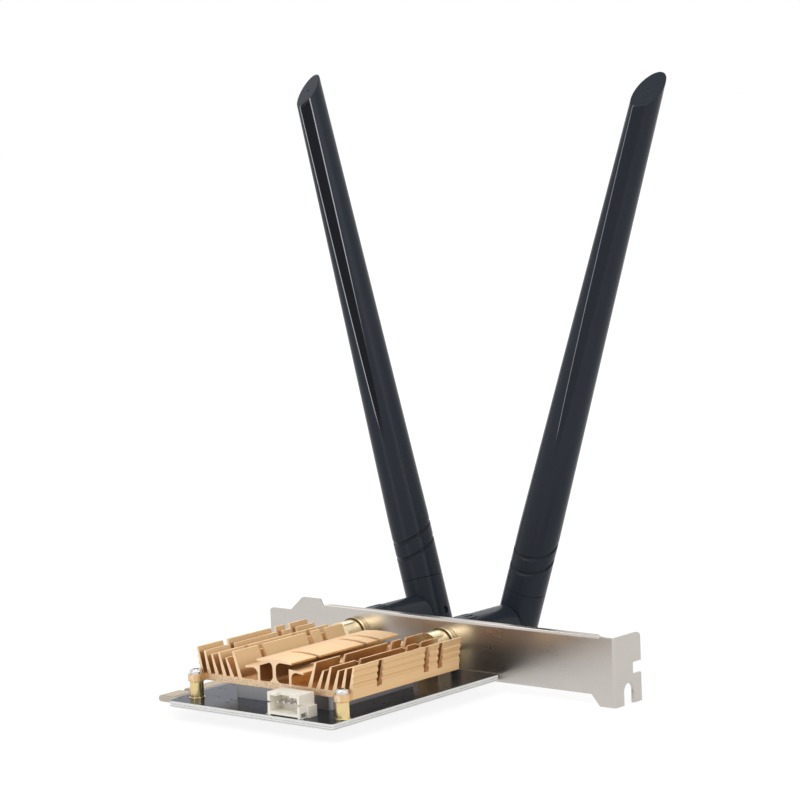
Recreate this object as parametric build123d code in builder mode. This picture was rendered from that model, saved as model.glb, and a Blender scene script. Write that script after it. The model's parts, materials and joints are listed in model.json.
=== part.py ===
from build123d import *
from math import cos, radians, sin, tan
import os

# A wireless network card for a one-lane expansion slot, in millimetres.
# The origin is the middle of the edge connector's key notch, at the connector's end, halfway
# through the board. +X runs from the connector to the bracket's screw tab, +Y to the bracket
# and the antennas, and +Z up from the component side of the board.

# Fits shared by all pieces
running_clearance = 0.05
screw_hole_clearance = 0.15
face_gap = 0.2

# Board and edge connector
board_thickness = 1.57
board_width = 56.6
board_front_reach = 12.1
board_corner_radius = 0.8
connector_depth = 7.0
connector_bevel = 0.4
key_width = 1.9
key_depth = 5.6
long_contact_row = 11.65
short_contact_row = 7.65
contact_pitch = 1.0
contact_width = 0.7
contact_length = 4.0
contact_thickness = 0.05
contact_inset = 0.9

# Bracket, a folded sheet
bracket_reach = 57.15
board_bracket_gap = 0.5
sheet = 0.86
bracket_length = 120.02
tab_outer_reach = 101.2
tab_depth = 12.0
tab_width = 18.42
tab_top = 13.9
tab_corner_radius = 1.4
plate_top = 14.1
plate_bottom = -1.6
plate_start = 0.9
flare_margin = 7.5
flare_run = 2.5
tongue_width = 10.19
tongue_bottom = 1.55
tongue_length = 7.8
hump_top = 15.8
hump_width = 6.4
tongue_chamfer_run = 4.9
tongue_corner_radius = 0.8
lip_depth = 2.6
lip_margin = 4.8
lip_end_chamfer = 1.8
lower_lip_margin = 12.6
bend_radius = 0.7
slot_width = 4.42
slot_edge_reach = 3.95
slot_top = 1.2
notch_depth = 3.7
notch_height = 3.2
notch_bottom = 3.1

# Heatsink, an extruded profile with sawn cross slots
heatsink_offset = 1.9
heatsink_side_margin = 2.1
heatsink_front_margin = 8.4
heatsink_rear_margin = 17.35
base_thickness = 1.8
fin_heights = (6.7, 4.8, 6.0, 5.3, 6.0, 6.8)
first_root = 11.7
outer_root_inset = 0.7
first_tip = 14.3
outer_tip_overhang = 0.8
fin_root_thickness = 1.4
fin_tip_thickness = 0.6
flute_count = 3
flute_radius = 0.6
flute_standoff = 0.36
rail_height = 6.0
rail_half_width = 6.0
rail_thickness = 0.75
rail_tip_thickness = 0.5
rail_crown = 0.4
rail_stem = 1.1
rail_root_radius = 1.7
rail_foot_radius = 1.7
ledge_height = 4.0
ledge_stem_offset = 5.4
ledge_reach = 10.0
ledge_thickness = 0.8
ledge_tip_thickness = 0.55
ledge_root_radius = 1.7
ledge_droop = 0.5
slot_positions = (10.6, 29.6, 35.3)
cross_slot_width = 2.0
kerf_width = 1.5
kerf_depth = 1.4
kerf_radius = 24.0
kerf_offset = 3.0
ear_diameter = 4.4
ear_neck_width = 3.4
ear_overhang = 1.9
rear_ear_overhang = 3.6
ear_offset = 1.1
front_ear_margin = 3.1

# Standoffs and screws
standoff_height = 4.6
standoff_diameter = 3.7
standoff_chamfer = 0.2
standoff_foot_diameter = 4.2
standoff_foot_thickness = 0.3
spigot_diameter = 2.8
screw_diameter = 2.0
screw_head_diameter = 3.5
screw_head_height = 1.3
screw_grip = 2.3
recess_width = 0.6
recess_span = 2.1
recess_depth = 0.6

# Shield can and what it covers
can_offset = 1.0
can_width = 33.0
can_length = 34.0
can_front_margin = 12.1
can_wall = 0.3
can_corner_radius = 1.0
pad_thickness = 0.8
pad_margin = 0.6
chip_side = 12.0
chip_height = 1.2
chip_setback = 12.0
amplifier_side = 4.0
amplifier_height = 0.9
amplifier_spread = 9.0
amplifier_setback = 26.0
crystal_length = 3.2
crystal_width = 2.5
crystal_height = 0.8
crystal_setback = 5.0
crystal_offset = 9.5

# Header at the front edge of the board
header_start = 41.9
header_edge_gap = 0.2
header_depth = 5.8
header_height = 6.1
header_wall = 0.8
header_floor = 1.1
header_rear_wall = 1.3
header_pin_count = 4
header_pin_pitch = 2.0
header_pin = 0.5
header_pin_height = 3.5
header_pin_front_gap = 1.2
header_pin_foot = 1.4
header_notch_width = 4.2
header_notch_depth = 1.4
header_slit_height = 0.5
header_slit_level = 3.5
header_lift = 0.4
header_relief_depth = 1.2
header_shoulder = 0.8
header_shoulder_height = 3.0
solder_tab_width = 0.9
solder_tab_length = 2.0
solder_tab_height = 1.5
solder_tab_thickness = 0.3

# Coaxial jacks in the bracket
jack_positions = {"left": 13.5, "right": 44.8}
jack_height = 7.5
jack_thread_diameter = 6.2
jack_thread_reach = 8.4
jack_bore_diameter = 4.2
jack_barrel_diameter = 8.0
jack_barrel_length = 5.9
jack_flange_diameter = 8.8
jack_flange_thickness = 1.2
jack_block_width = 7.0
jack_leg_diameter = 1.0
jack_leg_spread = 5.08
jack_leg_row = 3.2
lead_protrusion = 1.3
lock_washer_thickness = 0.6
rim_chamfer = 0.15
nut_across_flats = 8.0
nut_thickness = 2.0
contact_diameter = 0.95
jack_insulator_setback = 2.4
contact_setback = 0.4
contact_rear_inset = 2.9
tail_insulator_diameter = 3.0

# Antenna coupling
collar_gap = 1.6
collar_end_wall = 0.6
collar_diameter = 12.4
collar_front_diameter = 10.2
collar_dome = 3.6
coupling_nut_diameter = 9.4
coupling_lip = 0.9
plug_flange_thickness = 0.8
plug_stem_diameter = 4.5
plug_stem_length = 6.5
plug_bore_diameter = 3.4
plug_contact_diameter = 1.7
plug_contact_reach = 1.8

# Antenna knuckle, hinge and mast
knuckle_diameter = 12.0
knuckle_length = 14.8
pivot_shoulder = 6.2
hinge_tongue_width = 4.6
hinge_tongue_radius = 5.0
hinge_pin_diameter = 2.0
hinge_pin_inset = 0.6
mast_diameter = 11.8
mast_leans = {"left": -14.3, "right": 18.6}
seam_height = 10.4
spigot_height = 4.4
spigot_wall = 1.4
groove_heights = (17.0, 21.6)
groove_tilt = 28.0
groove_width = 0.6
groove_depth = 0.35
mast_straight = 26.0
mast_length = 155.5
tip_half_width = 3.1
tip_half_depth = 4.4
tip_slope = 45.0
facet_foot_height = 50.0
facet_depth = 0.6
gate_mark_diameter = 0.9
gate_mark_depth = 0.4
mast_bore_diameter = 5.6
radiator_length = 95.0
radiator_sleeve_length = 28.0
radiator_rod_diameter = 1.8

# Places worked out from the sizes above
board_top = board_thickness / 2
board_bottom = -board_thickness / 2
board_left = connector_depth
board_front = -board_front_reach
board_rear = bracket_reach - board_bracket_gap
board_length = board_rear - board_front
connector_front = -(key_width / 2 + short_contact_row)
connector_rear = key_width / 2 + long_contact_row
bracket_outer = bracket_reach + sheet
flare_start = tab_outer_reach - flare_margin
lip_end = tab_outer_reach - lip_margin
lower_lip_end = tab_outer_reach - lower_lip_margin
board_middle = board_left + board_width / 2
heatsink_centre = board_middle + heatsink_offset
base_half_width = board_width / 2 - heatsink_side_margin
heatsink_front = board_front + heatsink_front_margin
heatsink_rear = bracket_reach - heatsink_rear_margin
heatsink_bottom = board_top + standoff_height
base_top = heatsink_bottom + base_thickness
ear_middle = board_middle + ear_offset
front_ear_reach = board_width / 2 - front_ear_margin
standoff_places = {
    "front_left": (ear_middle - front_ear_reach, heatsink_front - ear_overhang),
    "front_right": (ear_middle + front_ear_reach, heatsink_front - ear_overhang),
    "rear": (ear_middle, heatsink_rear + rear_ear_overhang),
}
screw_places = list(standoff_places.values())
spigot_hole = spigot_diameter + 2 * running_clearance
can_centre = board_middle + can_offset
screw_hole = screw_diameter + 2 * screw_hole_clearance
jack_front = bracket_reach + jack_thread_reach + sheet
jack_flange_rear = bracket_reach - lock_washer_thickness - jack_flange_thickness
jack_rear = jack_flange_rear - jack_barrel_length
jack_centre_row = jack_rear + jack_barrel_length / 2
leg_hole = jack_leg_diameter + 2 * screw_hole_clearance
contact_tail_row = jack_rear + contact_rear_inset
thread_hole = jack_thread_diameter + 2 * screw_hole_clearance
collar_front = bracket_outer + nut_thickness + collar_gap
plug_flange_front = jack_front + face_gap
plug_flange_rear = plug_flange_front + plug_flange_thickness
collar_rear = plug_flange_rear + coupling_lip + collar_end_wall
plug_stem_rear = plug_flange_rear + plug_stem_length
knuckle_front = collar_rear + face_gap
shoulder = knuckle_front + knuckle_length
pivot_row = shoulder + pivot_shoulder
mast_radius = mast_diameter / 2


def jack_plane(side, row):
    """Plane facing +Y, centred on one jack's axis at the given distance along Y."""
    return Plane(origin=(jack_positions[side], row, jack_height), x_dir=(-1, 0, 0), z_dir=(0, 1, 0))


def mast_plane(side, height):
    """Plane square to one antenna's axis, a height above its hinge, with y along +Y."""
    lean = radians(mast_leans[side])
    axis = Vector(sin(lean), 0, cos(lean))
    pivot = Vector(jack_positions[side], pivot_row, jack_height)
    return Plane(origin=pivot + axis * height, x_dir=(cos(lean), 0, -sin(lean)), z_dir=axis)


def hinge_plane(side):
    """Plane square to one antenna's hinge axis, through the hinge, with x along +Y and y up the mast."""
    lean = radians(mast_leans[side])
    pivot = (jack_positions[side], pivot_row, jack_height)
    return Plane(origin=pivot, x_dir=(0, 1, 0), z_dir=(cos(lean), 0, -sin(lean)))


os.makedirs("parts", exist_ok=True)

# Board: a rounded outline, the connector tongue with its key notch, and drilled holes
with BuildPart() as board:
    with BuildSketch(Plane.XY.offset(board_bottom)):
        with Locations((board_left + board_width / 2, board_front + board_length / 2)):
            RectangleRounded(board_width, board_length, board_corner_radius)
        with Locations((0, connector_front)):
            Rectangle(
                board_left + board_corner_radius,
                connector_rear - connector_front,
                align=(Align.MIN, Align.MIN),
            )
        Rectangle(key_depth, key_width, align=(Align.MIN, Align.CENTER), mode=Mode.SUBTRACT)
        with Locations(*screw_places):
            Circle(spigot_hole / 2, mode=Mode.SUBTRACT)
        for jack_x in jack_positions.values():
            with Locations((jack_x, jack_centre_row)):
                with GridLocations(jack_leg_spread, jack_leg_row, 2, 2):
                    Circle(leg_hole / 2, mode=Mode.SUBTRACT)
            with Locations((jack_x, contact_tail_row)):
                Circle(contact_diameter / 2 + screw_hole_clearance, mode=Mode.SUBTRACT)
    extrude(amount=board_thickness)
    connector_edges = board.edges().filter_by(Axis.Y).group_by(Axis.X)[0]
    chamfer(connector_edges, length=connector_bevel)
board.part.label = "board"
export_step(board.part, "parts/board.step")

# Edge contacts: one row of plated fingers on each side of the key, on both faces
with BuildPart() as edge_contacts:
    for row_start, row_length in (
        (connector_front, short_contact_row),
        (key_width / 2, long_contact_row),
    ):
        count = int(row_length / contact_pitch)
        for face_level in (board_top, board_bottom - contact_thickness):
            with BuildSketch(Plane.XY.offset(face_level)):
                with Locations((contact_inset + contact_length / 2, row_start + row_length / 2)):
                    with GridLocations(0, contact_pitch, 1, count):
                        Rectangle(contact_length, contact_width)
            extrude(amount=contact_thickness)
edge_contacts.part.label = "edge_contacts"
export_step(edge_contacts.part, "parts/edge_contacts.step")

# Bracket: the plate with its tongue, two stiffening lips and the slotted screw tab
bracket_end = tab_outer_reach - bracket_length
tongue_top = tongue_bottom + tongue_width
hump_end = plate_start - (hump_top - plate_top) / 2
chamfer_end = hump_end - hump_width
flare_bottom = tab_top - tab_width
tab_far = bracket_reach + tab_depth
slot_middle = bracket_reach + slot_edge_reach + slot_width / 2
with BuildPart() as bracket:
    with BuildSketch(Plane(origin=(0, bracket_reach, 0), x_dir=(1, 0, 0), z_dir=(0, -1, 0))):
        with BuildLine():
            Polyline(
                (bracket_end, tongue_bottom),
                (bracket_end, tongue_top),
                (bracket_end + tongue_length, tongue_top),
                (chamfer_end, hump_top),
                (hump_end, hump_top),
                (plate_start, plate_top),
                (lip_end, plate_top),
                (lip_end + lip_end_chamfer, tab_top),
                (tab_outer_reach, tab_top),
                (tab_outer_reach, flare_bottom),
                (flare_start + flare_run, flare_bottom),
                (flare_start, plate_bottom),
                (chamfer_end, plate_bottom),
                (chamfer_end - tongue_chamfer_run, tongue_bottom),
                close=True,
            )
        make_face()
        for jack_x in jack_positions.values():
            with Locations((jack_x, jack_height)):
                Circle(thread_hole / 2, mode=Mode.SUBTRACT)
    extrude(amount=-sheet)
    end_edges = bracket.edges().filter_by(Axis.Y).group_by(Axis.X)[0]
    fillet(end_edges, radius=tongue_corner_radius)
    for lip_level, lip_reach in ((plate_top - sheet, lip_end), (plate_bottom, lower_lip_end)):
        with BuildSketch(Plane.XY.offset(lip_level)):
            with BuildLine():
                Polyline(
                    (plate_start, bracket_reach),
                    (plate_start, bracket_reach + lip_depth - lip_end_chamfer),
                    (plate_start + lip_end_chamfer, bracket_reach + lip_depth),
                    (lip_reach - lip_end_chamfer, bracket_reach + lip_depth),
                    (lip_reach, bracket_reach + lip_depth - lip_end_chamfer),
                    (lip_reach, bracket_reach),
                    close=True,
                )
            make_face()
        extrude(amount=sheet)
    with BuildSketch(Plane.YZ.offset(tab_outer_reach - sheet)):
        with Locations((bracket_reach, flare_bottom)):
            Rectangle(tab_depth, tab_width, align=(Align.MIN, Align.MIN))
        with Locations((slot_middle, slot_top - slot_width / 2)):
            Circle(slot_width / 2, mode=Mode.SUBTRACT)
            Rectangle(slot_width, tab_width, align=(Align.CENTER, Align.MAX), mode=Mode.SUBTRACT)
        with Locations((tab_far, notch_bottom)):
            Rectangle(notch_depth, notch_height, align=(Align.MAX, Align.MIN), mode=Mode.SUBTRACT)
    extrude(amount=sheet)
    tab_edges = bracket.edges().filter_by(Axis.X).group_by(Axis.Y)[-1]
    fillet(tab_edges.sort_by(Axis.Z)[-1], radius=tab_corner_radius)
    tab_fold = bracket.edges().filter_by(Axis.Z).group_by(Axis.X)[-1].sort_by(Axis.Y)[0]
    fillet(tab_fold, radius=bend_radius)
    inner_edges = bracket.edges().filter_by(Axis.X).group_by(Axis.Y)[0]
    lip_folds = inner_edges.filter_by(lambda edge: edge.length > bracket_length / 2)
    fillet(lip_folds, radius=bend_radius)
bracket.part.label = "bracket"
export_step(bracket.part, "parts/bracket.step")

# Heatsink: leaning fins, a central rail and two ledges on one extruded base, with three ears
heatsink_plane = Plane(
    origin=(heatsink_centre, heatsink_front, heatsink_bottom), x_dir=(1, 0, 0), z_dir=(0, -1, 0)
)
buried = base_thickness / 2
outer_root = base_half_width - outer_root_inset
outer_tip = base_half_width + outer_tip_overhang
last_fin = len(fin_heights) - 1
rail_top = base_thickness + rail_height
rail_under = rail_top - rail_thickness
rail_edge = rail_top - rail_crown
rail_side = rail_stem / 2
rail_foot_reach = rail_side + rail_foot_radius
ledge_top = base_thickness + ledge_height
ledge_under = ledge_top - ledge_thickness
ledge_tip = ledge_top - ledge_droop
ledge_inner = ledge_stem_offset - ledge_thickness / 2
ledge_outer = ledge_stem_offset + ledge_thickness / 2
arc_middle = 1 - cos(radians(45))
foot_bulge = arc_middle * rail_foot_radius
root_bulge = arc_middle * rail_root_radius
ledge_bulge = arc_middle * ledge_root_radius
with BuildPart() as heatsink:
    with BuildSketch(heatsink_plane):
        Rectangle(2 * base_half_width, base_thickness, align=(Align.CENTER, Align.MIN))
        for index, height in enumerate(fin_heights):
            share = index / last_fin
            root = first_root + share * (outer_root - first_root)
            tip = first_tip + share * (outer_tip - first_tip)
            with BuildLine():
                Polyline(
                    (root - fin_root_thickness / 2, buried),
                    (root + fin_root_thickness / 2, buried),
                    (tip + fin_tip_thickness / 2, base_thickness + height),
                    (tip - fin_tip_thickness / 2, base_thickness + height),
                    close=True,
                )
            make_face()
        wall_foot = outer_root + fin_root_thickness / 2
        wall_lean = outer_tip + fin_tip_thickness / 2 - wall_foot
        for index in range(flute_count):
            share = (index + 1) / (flute_count + 1)
            flute_x = wall_foot + share * wall_lean + flute_standoff
            with Locations((flute_x, base_thickness + share * fin_heights[-1])):
                Circle(flute_radius, mode=Mode.SUBTRACT)
        with BuildLine():
            Polyline(
                (0, rail_top),
                (0, buried),
                (rail_foot_reach, buried),
                (rail_foot_reach, base_thickness),
            )
            ThreePointArc(
                (rail_foot_reach, base_thickness),
                (rail_side + foot_bulge, base_thickness + foot_bulge),
                (rail_side, base_thickness + rail_foot_radius),
            )
            Line(
                (rail_side, base_thickness + rail_foot_radius),
                (rail_side, rail_under - rail_root_radius),
            )
            ThreePointArc(
                (rail_side, rail_under - rail_root_radius),
                (rail_side + root_bulge, rail_under - root_bulge),
                (rail_side + rail_root_radius, rail_under),
            )
            Polyline(
                (rail_side + rail_root_radius, rail_under),
                (rail_half_width, rail_edge - rail_tip_thickness),
                (rail_half_width, rail_edge),
            )
            ThreePointArc(
                (rail_half_width, rail_edge),
                (rail_half_width / 2, rail_top - rail_crown / 4),
                (0, rail_top),
            )
        make_face()
        with BuildLine():
            Polyline(
                (ledge_outer, ledge_under - ledge_root_radius),
                (ledge_outer, buried),
                (ledge_inner, buried),
                (ledge_inner, ledge_top),
                (ledge_reach, ledge_tip),
                (ledge_reach, ledge_tip - ledge_tip_thickness),
                (ledge_outer + ledge_root_radius, ledge_under),
            )
            ThreePointArc(
                (ledge_outer + ledge_root_radius, ledge_under),
                (ledge_outer + ledge_bulge, ledge_under - ledge_bulge),
                (ledge_outer, ledge_under - ledge_root_radius),
            )
        make_face()
        mirror(about=Plane.YZ)
    extrude(amount=heatsink_front - heatsink_rear)
    with BuildSketch(Plane.XY.offset(base_top)):
        for position in slot_positions:
            with Locations((heatsink_centre, heatsink_front + position)):
                Rectangle(3 * base_half_width, cross_slot_width)
                Rectangle(2 * rail_half_width, cross_slot_width, mode=Mode.SUBTRACT)
    extrude(amount=2 * max(fin_heights), mode=Mode.SUBTRACT)
    kerf_level = heatsink_bottom + rail_top - kerf_depth + kerf_radius
    for position in slot_positions:
        kerf_row = heatsink_front + position - kerf_width / 2
        saw_centre = (heatsink_centre + kerf_offset, kerf_row, kerf_level)
        with BuildSketch(Plane(origin=saw_centre, x_dir=(1, 0, 0), z_dir=(0, 1, 0))):
            Circle(kerf_radius)
        extrude(amount=kerf_width, mode=Mode.SUBTRACT)
    with BuildSketch(Plane.XY.offset(heatsink_bottom)):
        for ear_x, ear_y in screw_places:
            edge_y = heatsink_front if ear_y < heatsink_front else heatsink_rear
            with Locations((ear_x, ear_y)):
                Circle(ear_diameter / 2)
            with Locations((ear_x, (ear_y + edge_y) / 2)):
                Rectangle(ear_neck_width, abs(ear_y - edge_y) + 2 * face_gap)
    extrude(amount=base_thickness)
    with BuildSketch(Plane.XY.offset(heatsink_bottom)):
        with Locations(*screw_places):
            Circle(screw_hole / 2)
    extrude(amount=base_thickness, mode=Mode.SUBTRACT)
heatsink.part.label = "heatsink"
export_step(heatsink.part, "parts/heatsink.step")

# Standoffs: round brass spacers with a foot and a spigot set in the board, tapped right through
for place_name, (place_x, place_y) in standoff_places.items():
    with BuildPart() as standoff:
        with BuildSketch(Plane.XY.offset(board_top)):
            with Locations((place_x, place_y)):
                Circle(standoff_diameter / 2)
        extrude(amount=standoff_height)
        rims = standoff.edges().filter_by(GeomType.CIRCLE)
        chamfer(rims, length=standoff_chamfer)
        with BuildSketch(Plane.XY.offset(board_top)):
            with Locations((place_x, place_y)):
                Circle(standoff_foot_diameter / 2)
        extrude(amount=standoff_foot_thickness)
        with BuildSketch(Plane.XY.offset(board_bottom)):
            with Locations((place_x, place_y)):
                Circle(spigot_diameter / 2)
        extrude(amount=board_thickness)
        with BuildSketch(Plane.XY.offset(board_bottom)):
            with Locations((place_x, place_y)):
                Circle(screw_diameter / 2 + running_clearance)
        extrude(amount=board_thickness + standoff_height, mode=Mode.SUBTRACT)
    standoff.part.label = f"standoff_{place_name}"
    export_step(standoff.part, f"parts/standoff_{place_name}.step")

# Screws: pan heads with a cross recess, through the heatsink's ears into the standoffs
with BuildPart() as heatsink_screws:
    with BuildSketch(Plane.XY.offset(base_top)):
        with Locations(*screw_places):
            Circle(screw_head_diameter / 2)
    extrude(amount=screw_head_height)
    head_tops = heatsink_screws.faces().group_by(Axis.Z)[-1]
    fillet(head_tops.edges(), radius=screw_head_height / 2)
    with BuildSketch(Plane.XY.offset(base_top)):
        with Locations(*screw_places):
            Circle(screw_diameter / 2)
    extrude(amount=-(base_thickness + screw_grip))
    with BuildSketch(Plane.XY.offset(base_top + screw_head_height)):
        with Locations(*screw_places):
            Rectangle(recess_span, recess_width)
            Rectangle(recess_width, recess_span)
    extrude(amount=-recess_depth, mode=Mode.SUBTRACT)
heatsink_screws.part.label = "heatsink_screws"
export_step(heatsink_screws.part, "parts/heatsink_screws.step")

# Shield can: a thin drawn lid over the radio, open to the board
can_front = board_front + can_front_margin
can_middle = can_front + can_length / 2
can_top = heatsink_bottom - pad_thickness
with BuildPart() as shield_can:
    with BuildSketch(Plane.XY.offset(board_top)):
        with Locations((can_centre, can_middle)):
            RectangleRounded(can_width, can_length, can_corner_radius)
    extrude(amount=can_top - board_top)
    with BuildSketch(Plane.XY.offset(board_top)):
        with Locations((can_centre, can_middle)):
            RectangleRounded(can_width, can_length, can_corner_radius)
            offset(amount=-can_wall, mode=Mode.REPLACE)
    extrude(amount=can_top - board_top - can_wall, mode=Mode.SUBTRACT)
shield_can.part.label = "shield_can"
export_step(shield_can.part, "parts/shield_can.step")

# Thermal pad between the can and the heatsink
with BuildPart() as thermal_pad:
    with BuildSketch(Plane.XY.offset(can_top)):
        with Locations((can_centre, can_middle)):
            Rectangle(can_width - 2 * pad_margin, can_length - 2 * pad_margin)
    extrude(amount=pad_thickness)
thermal_pad.part.label = "thermal_pad"
export_step(thermal_pad.part, "parts/thermal_pad.step")

# Radio chip with its own pad up to the can, two amplifiers and the timing crystal
chip_top = board_top + chip_height
chip_row = can_front + chip_setback
with BuildPart() as radio_chip:
    with BuildSketch(Plane.XY.offset(board_top)):
        with Locations((can_centre, chip_row)):
            Rectangle(chip_side, chip_side)
    extrude(amount=chip_height)
radio_chip.part.label = "radio_chip"
export_step(radio_chip.part, "parts/radio_chip.step")

with BuildPart() as chip_pad:
    with BuildSketch(Plane.XY.offset(chip_top)):
        with Locations((can_centre, chip_row)):
            Rectangle(chip_side - pad_margin, chip_side - pad_margin)
    extrude(amount=can_top - can_wall - chip_top)
chip_pad.part.label = "chip_pad"
export_step(chip_pad.part, "parts/chip_pad.step")

for side, direction in (("left", -1), ("right", 1)):
    with BuildPart() as amplifier:
        with BuildSketch(Plane.XY.offset(board_top)):
            with Locations((can_centre + direction * amplifier_spread, can_front + amplifier_setback)):
                Rectangle(amplifier_side, amplifier_side)
        extrude(amount=amplifier_height)
    amplifier.part.label = f"{side}_amplifier"
    export_step(amplifier.part, f"parts/{side}_amplifier.step")

with BuildPart() as crystal:
    with BuildSketch(Plane.XY.offset(board_top)):
        with Locations((can_centre + crystal_offset, can_front + crystal_setback)):
            Rectangle(crystal_length, crystal_width)
    extrude(amount=crystal_height)
crystal.part.label = "crystal"
export_step(crystal.part, "parts/crystal.step")

# Header housing: a shroud open at the board's front edge, with a key notch in its top wall
header_width = (header_pin_count - 1) * header_pin_pitch + 2 * header_pin_pitch + header_wall
header_front = board_front + header_edge_gap
header_rear = header_front + header_depth
header_shoulder_depth = header_depth - header_edge_gap - solder_tab_length - face_gap
header_middle = header_start + header_width / 2
header_top = board_top + header_height
cavity_height = header_height - header_floor - header_wall
pin_level = board_top + header_pin_height
pin_passage = header_pin + 2 * running_clearance
header_face = Plane(origin=(header_middle, header_front, board_top), x_dir=(1, 0, 0), z_dir=(0, -1, 0))
with BuildPart() as header_housing:
    with BuildSketch(header_face):
        Rectangle(header_width, header_height, align=(Align.CENTER, Align.MIN))
        with Locations((0, header_floor)):
            Rectangle(
                header_width - 2 * header_wall,
                cavity_height,
                align=(Align.CENTER, Align.MIN),
                mode=Mode.SUBTRACT,
            )
    extrude(amount=-header_depth)
    with BuildSketch(header_face.offset(-header_depth)):
        Rectangle(header_width, header_height, align=(Align.CENTER, Align.MIN))
        with Locations((0, header_pin_height)):
            with GridLocations(header_pin_pitch, 0, header_pin_count, 1):
                Rectangle(pin_passage, pin_passage, mode=Mode.SUBTRACT)
    extrude(amount=header_rear_wall)
    with BuildSketch(Plane.XY.offset(header_top - header_wall)):
        with Locations((header_middle, header_front)):
            Rectangle(header_notch_width, 2 * header_notch_depth)
    extrude(amount=header_wall, mode=Mode.SUBTRACT)
    with BuildSketch(header_face):
        with Locations((0, header_slit_level)):
            Rectangle(header_width, header_slit_height)
        Rectangle(header_width - 2 * header_wall, header_lift, align=(Align.CENTER, Align.MIN))
    extrude(amount=-header_relief_depth, mode=Mode.SUBTRACT)
    with BuildSketch(Plane.XY.offset(board_top)):
        with Locations((header_middle, header_rear)):
            Rectangle(
                header_width + 2 * header_shoulder,
                header_shoulder_depth,
                align=(Align.CENTER, Align.MAX),
            )
            Rectangle(header_width - 2 * header_wall, 3 * header_shoulder_depth, mode=Mode.SUBTRACT)
    extrude(amount=header_shoulder_height)
header_housing.part.label = "header_housing"
export_step(header_housing.part, "parts/header_housing.step")

# Header pins: square wire from the shroud through its rear wall and down to a foot on the board
pin_path_front = header_front + header_pin_front_gap
with BuildPart() as header_pins:
    for index in range(header_pin_count):
        pin_x = header_middle + (index - (header_pin_count - 1) / 2) * header_pin_pitch
        with BuildSketch(Plane(origin=(pin_x, 0, 0), x_dir=(0, 1, 0), z_dir=(1, 0, 0))):
            with BuildLine():
                Polyline(
                    (pin_path_front, pin_level - header_pin / 2),
                    (pin_path_front, pin_level + header_pin / 2),
                    (header_rear + face_gap + header_pin, pin_level + header_pin / 2),
                    (header_rear + face_gap + header_pin, board_top + header_pin),
                    (header_rear + face_gap + header_pin_foot, board_top + header_pin),
                    (header_rear + face_gap + header_pin_foot, board_top),
                    (header_rear + face_gap, board_top),
                    (header_rear + face_gap, pin_level - header_pin / 2),
                    close=True,
                )
            make_face()
        extrude(amount=header_pin / 2, both=True)
header_pins.part.label = "header_pins"
export_step(header_pins.part, "parts/header_pins.step")

# Header solder tabs: a folded strip at each front corner of the housing
with BuildPart() as header_tabs:
    for direction in (-1, 1):
        wall_x = header_middle + direction * header_width / 2
        reach = direction * solder_tab_width
        fold = direction * solder_tab_thickness
        strip_front = header_front + header_edge_gap
        with BuildSketch(Plane(origin=(0, strip_front, 0), x_dir=(1, 0, 0), z_dir=(0, -1, 0))):
            with BuildLine():
                Polyline(
                    (wall_x, board_top),
                    (wall_x + reach, board_top),
                    (wall_x + reach, board_top + solder_tab_thickness),
                    (wall_x + fold, board_top + solder_tab_thickness),
                    (wall_x + fold, board_top + solder_tab_height),
                    (wall_x, board_top + solder_tab_height),
                    close=True,
                )
            make_face()
        extrude(amount=-solder_tab_length)
header_tabs.part.label = "header_tabs"
export_step(header_tabs.part, "parts/header_tabs.step")

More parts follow.
